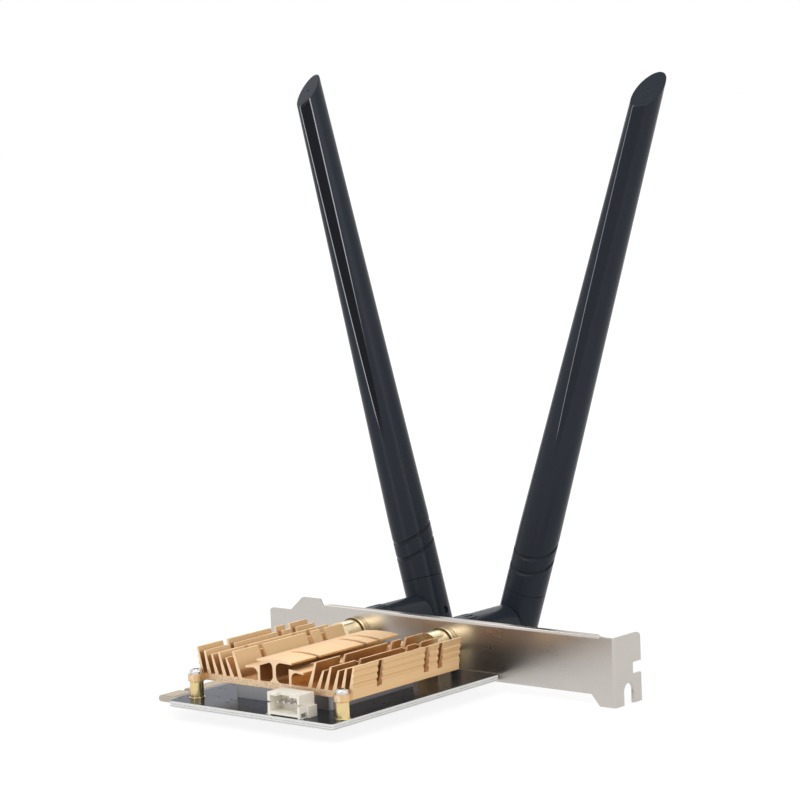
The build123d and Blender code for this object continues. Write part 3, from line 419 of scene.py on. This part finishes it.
def gold_plate_finish(colours):
    """Bright gold plating with faint turning lines, and painted shadow lines in the gaps beside each jack's
    flange.
    """
    finish = Finish("gold_plating")
    _, along, _ = finish.axes(finish.place())
    turning = finish.grain(0.5, (1.0, 0.12, 1.0), 2.0)
    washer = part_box("left_lock_washer")[0].y / MM
    flange = colours.flange_thickness / MM
    # Painted shadow: the grooves mask puts dark lines where the lock washer meets the flange and where the
    # flange meets the barrel; it also raises the roughness.
    grooves = (abs(along - washer) < 0.16) + (abs(along - washer + flange + 0.1) < 0.2)
    base = finish.shade(colours.gold, 0.9 + 0.2 * turning)
    # The painted shadow lines darken the plating here.
    base = finish.mix(0.9 * grooves, base, (0.06, 0.04, 0.02))
    rough = 0.22 + 0.10 * turning + 0.4 * grooves
    return finish.surface(base, turning, 0.004, rounding=0.05, metallic=1.0, roughness=rough)


def contact_finish(colours):
    """Thin dull plating, rubbed along each contact."""
    finish = Finish("worn_contact")
    rubbed = finish.grain(0.2, (20.0, 1.0, 1.0), 2.0)
    base = finish.shade(colours.contact, 0.85 + 0.25 * rubbed)
    return finish.surface(base, rubbed, 0.004, metallic=1.0, roughness=0.42 + 0.14 * rubbed)


def bracket_finish(colours):
    """Satin nickel with a fine sparkling grain and small scuffs."""
    finish = Finish("satin_nickel")
    sparkle = finish.grain(0.3, (1.6, 1.0, 1.0))
    scuffs = finish.grain(5.0, (1.6, 1.0, 0.7), 4.0)
    base = finish.shade(colours.bracket, 0.93 + 0.10 * scuffs + 0.05 * sparkle)
    rough = 0.24 + 0.06 * scuffs + 0.03 * sparkle
    return finish.surface(
        base,
        sparkle,
        0.002,
        rounding=0.12,
        metallic=1.0,
        roughness=rough,
        specular_tint=(0.80, 0.77, 0.74, 1.0),
    )


def heatsink_finish(colours):
    """Satin gold anodising with drawing lines along the extrusion and pitted, sawn ends."""
    finish = Finish("gold_anodising")
    _, forward, _ = finish.facing()
    _, _, level = finish.axes(finish.place())
    ends = abs(forward) > 0.9
    base_top = (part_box("heatsink")[0].z + colours.heatsink_base) / MM
    sawn = ends * (level < base_top)
    drawing = finish.grain(0.16, (1.0, 500.0, 1.0), 1.0)
    bloom = finish.grain(7.0)
    pits = finish.grain(0.35, detail=4.0).ramp(0.35, 0.7)
    base = finish.mix(ends, colours.heatsink, colours.heatsink_cut)
    shine = 0.94 + 0.07 * bloom + 0.04 * drawing - 0.26 * sawn * pits - 0.05 * ends * pits
    base = finish.shade(base, shine)
    rough = 0.36 + 0.06 * bloom + 0.05 * drawing + 0.12 * ends
    height = drawing * 0.06 + sawn * pits
    return finish.surface(base, height, 0.03, rounding=0.1, metallic=1.0, roughness=rough)


def brass_finish(colours):
    """Turned brass with rings round each spacer and slightly dulled patches."""
    finish = Finish("turned_brass")
    rings = finish.grain(0.12, (30.0, 30.0, 1.0), 2.0)
    dull = finish.grain(1.6)
    base = finish.shade(colours.brass, 0.84 + 0.2 * dull + 0.08 * rings)
    return finish.surface(base, rings, 0.006, rounding=0.12, metallic=1.0, roughness=0.14 + 0.16 * dull)


def nickel_finish(colours):
    """Bright plating with a little haze."""
    finish = Finish("bright_plating")
    haze = finish.grain(0.6)
    base = finish.shade(colours.nickel, 0.9 + 0.14 * haze)
    return finish.surface(base, haze, 0.006, rounding=0.1, metallic=1.0, roughness=0.12 + 0.18 * haze)


def can_finish(colours):
    """Dull tinned steel with a soft rolled grain."""
    finish = Finish("tinned_steel")
    rolled = finish.grain(0.3, (20.0, 1.0, 1.0))
    stain = finish.grain(6.0)
    base = finish.shade(colours.can, 0.84 + 0.22 * stain + 0.08 * rolled)
    return finish.surface(base, rolled, 0.006, rounding=0.15, metallic=1.0, roughness=0.38 + 0.14 * stain)


def header_finish(colours):
    """Ivory nylon with a fine moulded grain and soft clouds."""
    finish = Finish("ivory_nylon")
    mould = finish.grain(0.12)
    cloud = finish.grain(2.4, detail=2.0)
    base = finish.shade(colours.header, 0.93 + 0.12 * cloud)
    return finish.surface(
        base, mould, 0.008, rounding=0.12, roughness=0.42 + 0.14 * cloud, subsurface_weight=0.06
    )


def insulator_finish(colours):
    """White plastic with a faint machined haze."""
    finish = Finish("white_plastic")
    haze = finish.grain(0.4)
    base = finish.shade(colours.insulator, 0.95 + 0.08 * haze)
    return finish.surface(base, haze, 0.006, roughness=0.4 + 0.12 * haze)


def pad_finish(colours):
    """Soft silicone with mineral specks."""
    finish = Finish("silicone_pad")
    specks = finish.grain(0.25, detail=4.0)
    base = finish.shade(colours.pad, 0.85 + 0.3 * specks)
    return finish.surface(base, specks, 0.02, roughness=0.75 + 0.1 * specks)


def chip_finish(colours):
    """Moulded epoxy with a fine matt grain."""
    finish = Finish("moulded_epoxy")
    grit = finish.grain(0.1)
    base = finish.shade(colours.chip, 0.8 + 0.4 * grit)
    return finish.surface(base, grit, 0.01, roughness=0.5 + 0.16 * grit)


def antenna_finish(colours):
    """Blue black plastic with a fine spark grain, less rough on the mast's flat, with a painted dark
    reflection on the flat and painted highlights along its edges.
    """
    finish = Finish("satin_black_plastic")
    spark = finish.grain(0.14, detail=2.0)
    sheen = finish.grain(14.0, (1.0, 1.0, 2.5), 2.0)
    flat = finish.add("ShaderNodeAttribute", {"attribute_name": "flat"}, output="Fac")
    edge = finish.add("ShaderNodeAttribute", {"attribute_name": "flat_edge_highlight"}, output="Fac")
    # Painted dark reflection: the flat mark darkens the plastic's colour on the mast's flat.
    body = finish.shade(colours.antenna, (0.88 + 0.24 * sheen) * (1 - 0.88 * flat))
    # Painted highlights: pale lines along the edges of the flat.
    base = finish.mix(0.8 * edge.ramp(0.3, 0.75), body, colours.antenna_edge_highlight)
    rough = 0.22 + 0.06 * sheen + 0.03 * spark - 0.1 * flat
    return finish.surface(base, spark, 0.003, rounding=0.3, roughness=rough, specular_ior_level=0.11)


def solder_finish(colours):
    """Bright solder with soft ripples."""
    finish = Finish("solder")
    ripple = finish.grain(0.5)
    base = finish.shade(colours.nickel, 0.82 + 0.2 * ripple)
    return finish.surface(base, ripple, 0.03, metallic=1.0, roughness=0.18 + 0.2 * ripple)


FINISHES = {
    "board": board_finish,
    "gold_plate": gold_plate_finish,
    "worn_contact": contact_finish,
    "bracket_steel": bracket_finish,
    "gold_anodised": heatsink_finish,
    "brass": brass_finish,
    "bright_nickel": nickel_finish,
    "shield_steel": can_finish,
    "thermal_pad": pad_finish,
    "chip_black": chip_finish,
    "ivory_nylon": header_finish,
    "white_insulator": insulator_finish,
    "antenna_black": antenna_finish,
    "solder": solder_finish,
}
made_finishes = {}


def finish_for(slot):
    """The material of a slot, made once."""
    if slot not in made_finishes:
        made_finishes[slot] = FINISHES[slot](bpy.context.scene.card_colours)
    return made_finishes[slot]


def dress(slot, *names):
    """Gives CAD nodes the finish of a slot."""
    for name in names:
        NODES[name].material_slots[0].material = finish_for(slot)


def grid_faces(rows, columns, wrap_rows=False):
    """Corner numbers of the quads of a grid whose columns close on themselves, as one array."""
    last = rows if wrap_rows else rows - 1
    row, column = np.meshgrid(np.arange(last), np.arange(columns), indexing="ij")
    following = (row + 1) % rows
    beside = (column + 1) % columns
    corners = (row * columns + column, row * columns + beside, following * columns + beside)
    return np.stack((*corners, following * columns + column), axis=-1).reshape(-1, 4)


def cap_faces(start, columns, pole, outward):
    """Corner numbers of the triangles from one ring to its pole, as one array."""
    ring = start + np.arange(columns)
    beside = start + (np.arange(columns) + 1) % columns
    order = (ring, beside) if outward else (beside, ring)
    return np.stack((*order, np.full(columns, pole)), axis=-1)


def make_piece(name, points, faces, slot, body, sharp=25.0, marks=None):
    """Mesh object from point and face arrays, smooth but for edges sharper than the given angle.

    Marks are named values at the points, for its material to read.
    """
    mesh = bpy.data.meshes.new(name)
    mesh.from_pydata(points.tolist(), [], [row for part in faces for row in part.tolist()])
    mesh.validate()
    mesh.shade_smooth()
    mesh.set_sharp_from_angle(angle=radians(sharp))
    mesh.materials.append(finish_for(slot))
    for mark, values in (marks or {}).items():
        mesh.attributes.new(mark, "FLOAT", "POINT").data.foreach_set("value", values)
    piece = bpy.data.objects.new(name, mesh)
    bpy.context.scene.collection.objects.link(piece)
    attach(piece, body)
    return piece


def mast_rows(sizes):
    """Heights, slopes and insets of the mast's rows.

    The rows close up at the seam's bevel, at both grooves and at the tip's rounding, and are even
    between. A row's slope is level at the seam, follows the grooves past them, is level along the mast
    and follows the cut at the tip, in straight changes.
    """
    length_to_cut = sizes.top - sizes.tip_half_depth * tan(sizes.tip_slope)
    half = sizes.groove_width / 2 / cos(sizes.groove_tilt)
    lip = 0.25 * half
    rising = np.array((-half - 2 * lip, -half - lip, -half, -half + lip))
    groove_steps = np.concatenate((rising, -rising[::-1]))
    groove_insets = sizes.groove_depth * np.array(GROOVE_INSETS)
    seam_end = sizes.seam + sizes.seam_chamfer
    low, high = sizes.groove_low + groove_steps, sizes.groove_high + groove_steps
    stretches = (
        (np.array((sizes.seam, seam_end)), np.array((sizes.seam_chamfer, 0.0))),
        (np.arange(seam_end + ROW_STEP / 2, low[0] - ROW_STEP / 4, ROW_STEP / 2), None),
        (low, groove_insets),
        (np.arange(low[-1] + ROW_STEP / 4, high[0] - ROW_STEP / 8, ROW_STEP / 2), None),
        (high, groove_insets),
        (np.arange(high[-1] + ROW_STEP / 4, length_to_cut - 2 * sizes.tip_rounding, ROW_STEP), None),
        (
            length_to_cut - sizes.tip_rounding * np.array(TIP_DROPS),
            sizes.tip_rounding * np.array(TIP_INSETS),
        ),
    )
    heights = np.concatenate([stretch for stretch, _ in stretches])
    insets = np.concatenate([
        np.zeros_like(stretch) if inset is None else inset
        for stretch, inset in stretches
    ])
    tilt = tan(sizes.groove_tilt)
    margin = 0.2 * MM
    level_off = 2 * (1.15 * sizes.radius * tilt)
    stops = (sizes.seam, low[0] - margin, high[-1] + margin, high[-1] + level_off)
    tip_turn = length_to_cut - 4 * sizes.tip_half_depth
    slopes = np.interp(
        heights, (*stops, tip_turn, length_to_cut), (0.0, tilt, tilt, 0.0, 0.0, tan(sizes.tip_slope))
    )
    return heights[:, None], slopes[:, None], insets[:, None], length_to_cut


def mast_section(sizes, levels, insets):
    """Points round the mast, each at its own height.

    The section is an ellipse whose half width and half depth shrink in straight lines from the foot to
    the tip. A flat cuts it on the side that the facet's turn points to, and sinks in a straight line from
    the facet's start to the tip: points past it are moved back on to it. Columns keep to the flat's two
    edges: the first ones cross the flat, the others go round the rest.
    """
    ends = (sizes.straight, sizes.top)
    facing = np.array((sin(sizes.facet_turn), -cos(sizes.facet_turn)))

    def half_sizes(heights):
        half_width = np.interp(heights, ends, (sizes.radius, sizes.tip_half_width))
        return half_width, np.interp(heights, ends, (sizes.radius, sizes.tip_half_depth))

    half_width, half_depth = (half - insets for half in half_sizes(levels))
    reach = np.hypot(half_width * facing[0], half_depth * facing[1])
    span = np.array((sizes.facet_start, sizes.top))
    end_width, end_depth = half_sizes(span)
    end_reach = np.hypot(end_width * facing[0], end_depth * facing[1]) - (0.0, sizes.facet_depth)
    sunk = np.minimum(np.interp(levels, span, end_reach) - insets, reach)
    flat = np.where(levels < sizes.facet_start, reach, sunk)
    front = sizes.flat_columns // 2
    middle = np.arctan2(half_width * facing[0], -half_depth * facing[1])[:, front]
    cut_off = np.arccos(np.clip(flat / reach, -1.0, 1.0))[:, front]
    edge = np.maximum(cut_off, LEAST_FLAT_ANGLE)[:, None]
    across_flat = np.linspace(-1.0, 1.0, sizes.flat_columns + 1)
    round_rest = np.linspace(0.0, 1.0, sizes.columns - sizes.flat_columns + 1)[1:-1]
    round_back = edge + (2 * pi - 2 * edge) * round_rest
    turn = np.concatenate((edge * across_flat, round_back), axis=1) + middle[:, None]
    x, y = half_width * np.sin(turn), -half_depth * np.cos(turn)
    past = np.maximum(x * facing[0] + y * facing[1] - flat, 0.0)
    return x - past * facing[0], y - past * facing[1]


def mast_surface(sizes, gloss_and_painted_reflection, near_edge_highlight, far_edge_highlight):
    """Points, faces and marks of one mast shell in its hinge's frame.

    Each point's height is its row's height plus the row's slope times y, found by repeating the section
    at the new heights. Rings on the sloping cut run in to a round moulding mark, and each end closes on a
    pole. The marks tell the flat from its edges, and grow in a straight line from the flat's start to the
    shares given: the flat mark paints a dark reflection on the flat, and the edge mark paints highlights
    along its edges.
    """
    heights, slopes, insets, cut = mast_rows(sizes)
    z = np.repeat(heights, sizes.columns, axis=1)
    for _ in range(SLOPE_PASSES):
        x, y = mast_section(sizes, z, insets)
        z = heights + slopes * y
    slope = tan(sizes.tip_slope)
    rings = np.array(TIP_RINGS)[:, None]
    ring_x, ring_y = rings * x[-1], rings * y[-1]
    bearing = np.arctan2(y[-1], x[-1])
    mark = sizes.gate_radius * np.array(GATE_RADII)[:, None]
    sink = sizes.gate_depth * np.array(GATE_DEPTHS)[:, None]
    mark_x = mark * np.cos(bearing)
    mark_y = mark * np.sin(bearing) * cos(sizes.tip_slope)
    x = np.concatenate((x, ring_x, mark_x))
    y = np.concatenate((y, ring_y, mark_y))
    z = np.concatenate((z, cut + slope * ring_y, cut + slope * mark_y - sink))
    rows, columns = x.shape
    points = np.stack((x, y, z), axis=-1).reshape(-1, 3)
    poles = np.array(((0.0, 0.0, sizes.seam), (0.0, 0.0, cut - sizes.gate_depth)))
    faces = (
        grid_faces(rows, columns),
        cap_faces(0, columns, rows * columns, outward=False),
        cap_faces((rows - 1) * columns, columns, rows * columns + 1, outward=True),
    )
    risen = np.clip((heights - sizes.facet_start) / sizes.facet_fade, 0.0, 1.0)
    far_risen = np.clip((heights - sizes.facet_start) / sizes.facet_far_fade, 0.0, 1.0)
    column = np.arange(columns)
    inside = (column > 0) & (column < sizes.flat_columns)
    marks = {name: np.zeros(len(points) + len(poles)) for name in ("flat", "flat_edge_highlight")}
    # The flat mark paints a dark reflection on the flat and makes it less rough; the edge mark paints
    # highlights along the flat's edges.
    marks["flat"][: risen.size * columns] = (gloss_and_painted_reflection * risen * inside).ravel()
    edges = near_edge_highlight * risen * (column == 0) + far_edge_highlight * far_risen * (column == sizes.flat_columns)
    marks["flat_edge_highlight"][: risen.size * columns] = edges.ravel()
    return np.concatenate((points, poles)), faces, marks


def collar_surface(sizes, side):
    """Points and faces of one grip collar, a closed profile turned about the jack's axis.

    The outer radius is the profile's radius less the grip depth times a rounded wave of the angle, faded
    out towards the dome and the rear edge. The inner radii are those of the CAD collar's bore and mouth.
    """
    low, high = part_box(f"{side}_collar")
    radius = (high.x - low.x) / 2
    middle = ((low.x + high.x) / 2, (low.z + high.z) / 2)
    local = node_points(f"{side}_collar") - np.array((middle[0], 0.0, middle[1]))
    bore = np.hypot(local[:, 0], local[:, 2]).min()
    mouth = np.hypot(local[:, 0], local[:, 2])[local[:, 1] < low.y + TOUCH]
    dome, rim = sizes.collar_dome, sizes.collar_rim
    ease = np.linspace(0.0, pi / 2, COLLAR_ROWS)
    band_y = np.linspace(low.y + dome, high.y - rim, COLLAR_ROWS)[1:]
    profile = np.concatenate((
        mouth.max() + (radius - mouth.max()) * np.sin(ease),
        np.full_like(band_y, radius),
        radius - rim * np.array(RIM_INSETS),
    ))
    station = np.concatenate((
        low.y + dome * (1 - np.cos(ease)),
        band_y,
        high.y - rim + rim * np.array(RIM_STEPS),
    ))
    inner = np.array((bore, bore, mouth.min(), mouth.min()))
    step = high.y - sizes.collar_step
    inner_y = np.array((high.y, step, step, low.y))
    fade_in = np.clip((station - low.y - 0.55 * dome) / (0.5 * dome), 0, 1)
    fade_out = np.clip((high.y - 0.75 * rim - station) / (1.25 * rim), 0, 1)
    grip = fade_in * fade_out
    turn = np.linspace(0.0, 2 * pi, FLUTE_COLUMNS * sizes.grip_count, endpoint=False)
    wave = np.clip(1.4 * np.cos(sizes.grip_count * turn) - 0.4, 0, 1)
    radii = profile[:, None] - sizes.grip_depth * grip[:, None] * wave
    radii = np.concatenate((radii, np.repeat(inner[:, None], len(turn), axis=1)))
    rows = np.concatenate((station, inner_y))[:, None] + np.zeros_like(turn)
    x = middle[0] + radii * np.sin(turn)
    z = middle[1] + radii * np.cos(turn)
    points = np.stack((x, rows, z), axis=-1).reshape(-1, 3)
    return points, (grid_faces(len(radii), len(turn), wrap_rows=True),)


def lead_spots(side):
    """Lower end of each of a jack's leads: its four legs, one to a quarter, and its contact."""
    ends = []
    for name in (f"{side}_jack_body", f"{side}_jack_contact"):
        points = node_points(name)
        ends.append(points[points[:, 2] < points[:, 2].min() + TOUCH])
    legs, contact = ends
    quarter = (legs[:, :2] > legs[:, :2].mean(axis=0)) @ np.array((1, 2))
    spots = [legs[quarter == number].mean(axis=0) for number in range(4)]
    return np.array([*spots, contact.mean(axis=0)])


def solder_surface(spots, base_radius, lead_radius, height):
    """Points and faces of solder cones hanging under the board at an array of spots.

    The radius falls from the pad to the lead by the square of the share of the height that is left.
    """
    share = np.linspace(0.0, 1.0, SOLDER_ROWS)
    radius = lead_radius + (base_radius - lead_radius) * (1 - share) ** 2
    radius = np.append(radius, 0.6 * lead_radius)
    drop = np.append(share, 1.06) * height
    turn = np.linspace(0.0, 2 * pi, SOLDER_COLUMNS, endpoint=False)
    x = radius[:, None] * np.cos(turn)
    y = -radius[:, None] * np.sin(turn)
    z = np.repeat(-drop[:, None], len(turn), axis=1)
    cone = np.stack((x, y, z), axis=-1).reshape(-1, 3)
    rows, columns = x.shape
    poles = np.array(((0.0, 0.0, 0.0), (0.0, 0.0, -drop[-1])))
    shape = np.concatenate((cone, poles))
    points = (spots[:, None, :] + shape).reshape(-1, 3)
    shift = (np.arange(len(spots)) * len(shape))[:, None, None]
    parts = (
        grid_faces(rows, columns),
        cap_faces(0, columns, rows * columns, outward=False),
        cap_faces((rows - 1) * columns, columns, rows * columns + 1, outward=True),
    )
    return points, [(part + shift).reshape(-1, part.shape[1]) for part in parts]


class DressBoard(bpy.types.Operator):
    """Gives the board and its contacts their finishes"""

    bl_idname = "wireless_card.dress_board"
    bl_label = "Board and contacts"

    def execute(self, context):
        dress("board", "board")
        dress("worn_contact", "edge_contacts")
        return {"FINISHED"}


class DressBracket(bpy.types.Operator):
    """Gives the bracket its satin nickel"""

    bl_idname = "wireless_card.dress_bracket"
    bl_label = "Bracket"

    def execute(self, context):
        dress("bracket_steel", "bracket")
        return {"FINISHED"}


class DressHeatsink(bpy.types.Operator):
    """Gives the heatsink, its spacers and screws their finishes"""

    bl_idname = "wireless_card.dress_heatsink"
    bl_label = "Heatsink and spacers"

    def execute(self, context):
        dress("gold_anodised", "heatsink")
        dress("brass", *[name for name in NODES if name.startswith("standoff_")])
        dress("bright_nickel", "heatsink_screws")
        return {"FINISHED"}


class DressRadio(bpy.types.Operator):
    """Gives the shield can and the parts under it their finishes"""

    bl_idname = "wireless_card.dress_radio"
    bl_label = "Radio"

    def execute(self, context):
        dress("shield_steel", "shield_can")
        dress("thermal_pad", "thermal_pad", "chip_pad")
        dress("chip_black", "radio_chip", "left_amplifier", "right_amplifier")
        dress("bright_nickel", "crystal")
        return {"FINISHED"}


class DressHeader(bpy.types.Operator):
    """Gives the header, its pins and tabs their finishes"""

    bl_idname = "wireless_card.dress_header"
    bl_label = "Header"

    def execute(self, context):
        dress("ivory_nylon", "header_housing")
        dress("bright_nickel", "header_pins", "header_tabs")
        return {"FINISHED"}


class DressJacks(bpy.types.Operator):
    """Gives the jacks and plugs their finishes and adds the solder under the board"""

    bl_idname = "wireless_card.dress_jacks"
    bl_label = "Jacks and solder"

    def execute(self, context):
        gold = (
            "jack_body",
            "jack_contact",
            "lock_washer",
            "jack_nut",
            "coupling_nut",
            "plug_stem",
            "plug_contact",
        )
        for side in SIDES:
            dress("gold_plate", *[f"{side}_{name}" for name in gold])
            dress("white_insulator", f"{side}_jack_insulator", f"{side}_plug_insulator")
        spots = np.concatenate([lead_spots(side) for side in SIDES])
        spots[:, 2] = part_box("board")[0].z
        points, faces = solder_surface(spots, base_radius=1.0 * MM, lead_radius=0.55 * MM, height=0.9 * MM)
        piece = make_piece("jack_solder", points, faces, "solder", "card")
        return {"FINISHED"}


class BuildCollars(bpy.types.Operator):
    """Builds the two fluted grip collars"""

    bl_idname = "wireless_card.build_collars"
    bl_label = "Grip collars"

    def execute(self, context):
        for side in SIDES:
            points, faces = collar_surface(context.scene.antenna_sizes, side)
            piece = make_piece(f"{side}_grip", points, faces, "antenna_black", "card")
            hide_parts(f"{side}_collar")
        return {"FINISHED"}


class BuildMasts(bpy.types.Operator):
    """Builds the two smooth mast shells and finishes the hinged pieces under them"""

    bl_idname = "wireless_card.build_masts"
    bl_label = "Antenna masts"

    def execute(self, context):
        for side in SIDES:
            hinge, axes = antenna_axes(side)
            local, faces, marks = mast_surface(context.scene.antenna_sizes, *FLAT_PAINTED_LIGHT[side])
            points = hinge + local @ axes
            body = f"{side}_mast_body"
            piece = make_piece(f"{side}_mast", points, faces, "antenna_black", body, sharp=12.0, marks=marks)
            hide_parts(f"{side}_mast_shell")
            dress("antenna_black", f"{side}_knuckle", f"{side}_mast_socket", f"{side}_hinge_pin")
            dress("brass", f"{side}_radiator")
        return {"FINISHED"}


class BuildStage(bpy.types.Operator):
    """Sets up the floor, the soft light, the white surroundings and the camera"""

    bl_idname = "wireless_card.build_stage"
    bl_label = "Studio"

    def execute(self, context):
        stage = context.scene.stage_settings
        self.add_floor(stage)
        self.add_world(context.scene, stage)
        self.add_lamps(stage)
        self.add_camera(context.scene, stage)
        context.scene.view_settings.view_transform = "Standard"
        return {"FINISHED"}

    def add_floor(self, stage):
        half = stage.floor_size / 2
        level = CAD_LOW.z
        middle = tuple((CAD_LOW + CAD_HIGH) / 2 / MM)
        corners = [(-half, -half, level), (half, -half, level), (half, half, level), (-half, half, level)]
        mesh = bpy.data.meshes.new("floor")
        mesh.from_pydata(corners, [], [(0, 1, 2, 3)])
        finish = Finish("floor_white")
        paper = (stage.floor_white, stage.floor_white, stage.floor_white, 1.0)
        diffuse = finish.add("ShaderNodeBsdfDiffuse", None, {"Color": paper})
        light = {"Color": (1.0, 1.0, 1.0, 1.0), "Strength": stage.floor_glow}
        glow = finish.add("ShaderNodeEmission", None, light)
        ends = {0: finish.place(), 1: middle}
        away = finish.add("ShaderNodeVectorMath", {"operation": "DISTANCE"}, ends, "Value")
        risen = away.ramp(stage.shadow_start / MM, stage.shadow_end / MM)
        share = stage.near_glow + stage.glow_rise * risen
        shader = finish.add("ShaderNodeMixShader", None, {0: share * finish.seen(), 1: diffuse, 2: glow})
        finish.add("ShaderNodeOutputMaterial", None, {"Surface": shader})
        mesh.materials.append(finish.material)
        floor = bpy.data.objects.new("floor", mesh)
        bpy.context.scene.collection.objects.link(floor)

    def add_world(self, scene, stage):
        world = bpy.data.worlds.new("studio_white")
        world.use_nodes = True
        scene.world = world
        nodes = NodeTree(world.node_tree)
        white = (1.0, 1.0, 1.0, 1.0)
        even = nodes.add("ShaderNodeBackground", None, {"Color": white, "Strength": stage.ambient})
        backdrop = nodes.add("ShaderNodeBackground", None, {"Color": white, "Strength": 1.0})
        shader = nodes.add("ShaderNodeMixShader", None, {0: nodes.seen(), 1: even, 2: backdrop})
        nodes.add("ShaderNodeOutputWorld", None, {"Surface": shader})

    def add_lamps(self, stage):
        """Area lamps, each with its offset from the card's middle, its width and height and its power."""
        middle = (CAD_LOW + CAD_HIGH) / 2
        lamps = (
            ("key_light", Vector((0.10, -0.55, 0.75)), (0.7, 0.7), stage.key_power),
            ("fill_light", Vector((0.95, -0.05, 0.35)), (0.6, 0.6), stage.fill_power),
            ("back_light", Vector((-0.5, 0.6, 0.7)), (0.6, 0.6), stage.fill_power),
            ("edge_light", Vector((-0.14, -1.1, 0.10)), (0.035, 0.9), stage.edge_power),
        )
        for name, offset, (width, height), power in lamps:
            light = bpy.data.lights.new(name, "AREA")
            light.shape = "RECTANGLE"
            light.size = width
            light.size_y = height
            light.energy = power
            lamp = bpy.data.objects.new(name, light)
            lamp.location = middle + offset
            lamp.rotation_euler = offset.to_track_quat("Z", "Y").to_euler()
            bpy.context.scene.collection.objects.link(lamp)

    def add_camera(self, scene, stage):
        """The photograph's camera: its place and its own right, up and back directions."""
        place = Vector((0.51859, -0.53120, 0.15694))
        right = Vector((0.77293, 0.63334, -0.03821))
        up = Vector((-0.03944, 0.10807, 0.99336))
        back = Vector((0.63326, -0.76629, 0.10851))
        data = bpy.data.cameras.new("camera")
        data.lens = stage.lens
        data.sensor_width = 36.0
        data.clip_start = 0.01
        camera = bpy.data.objects.new("camera", data)
        turn = Matrix((right, up, back)).transposed().to_4x4()
        camera.matrix_world = Matrix.Translation(place) @ turn
        scene.collection.objects.link(camera)
        scene.camera = camera


OPERATORS = (
    DressBoard,
    DressBracket,
    DressHeatsink,
    DressRadio,
    DressHeader,
    DressJacks,
    BuildCollars,
    BuildMasts,
    BuildStage,
)


class CardPanel(bpy.types.Panel):
    """Lists the pieces of the wireless card"""

    bl_idname = "VIEW3D_PT_wireless_card"
    bl_label = "Wireless card"
    bl_space_type = "VIEW_3D"
    bl_region_type = "UI"
    bl_category = "Wireless card"

    def draw(self, context):
        for operator in OPERATORS:
            self.layout.operator(operator.bl_idname)


CLASSES = (CardColours, AntennaSizes, StageSettings, *OPERATORS, CardPanel)
SETTINGS = {"card_colours": CardColours, "antenna_sizes": AntennaSizes, "stage_settings": StageSettings}


def register():
    for cls in CLASSES:
        bpy.utils.register_class(cls)
    for name, group in SETTINGS.items():
        setattr(bpy.types.Scene, name, PointerProperty(type=group))


def unregister():
    for name in SETTINGS:
        delattr(bpy.types.Scene, name)
    for cls in reversed(CLASSES):
        bpy.utils.unregister_class(cls)


def main():
    register()
    for operator in OPERATORS:
        group, name = operator.bl_idname.split(".")
        getattr(getattr(bpy.ops, group), name)()


if __name__ == "__main__":
    main()
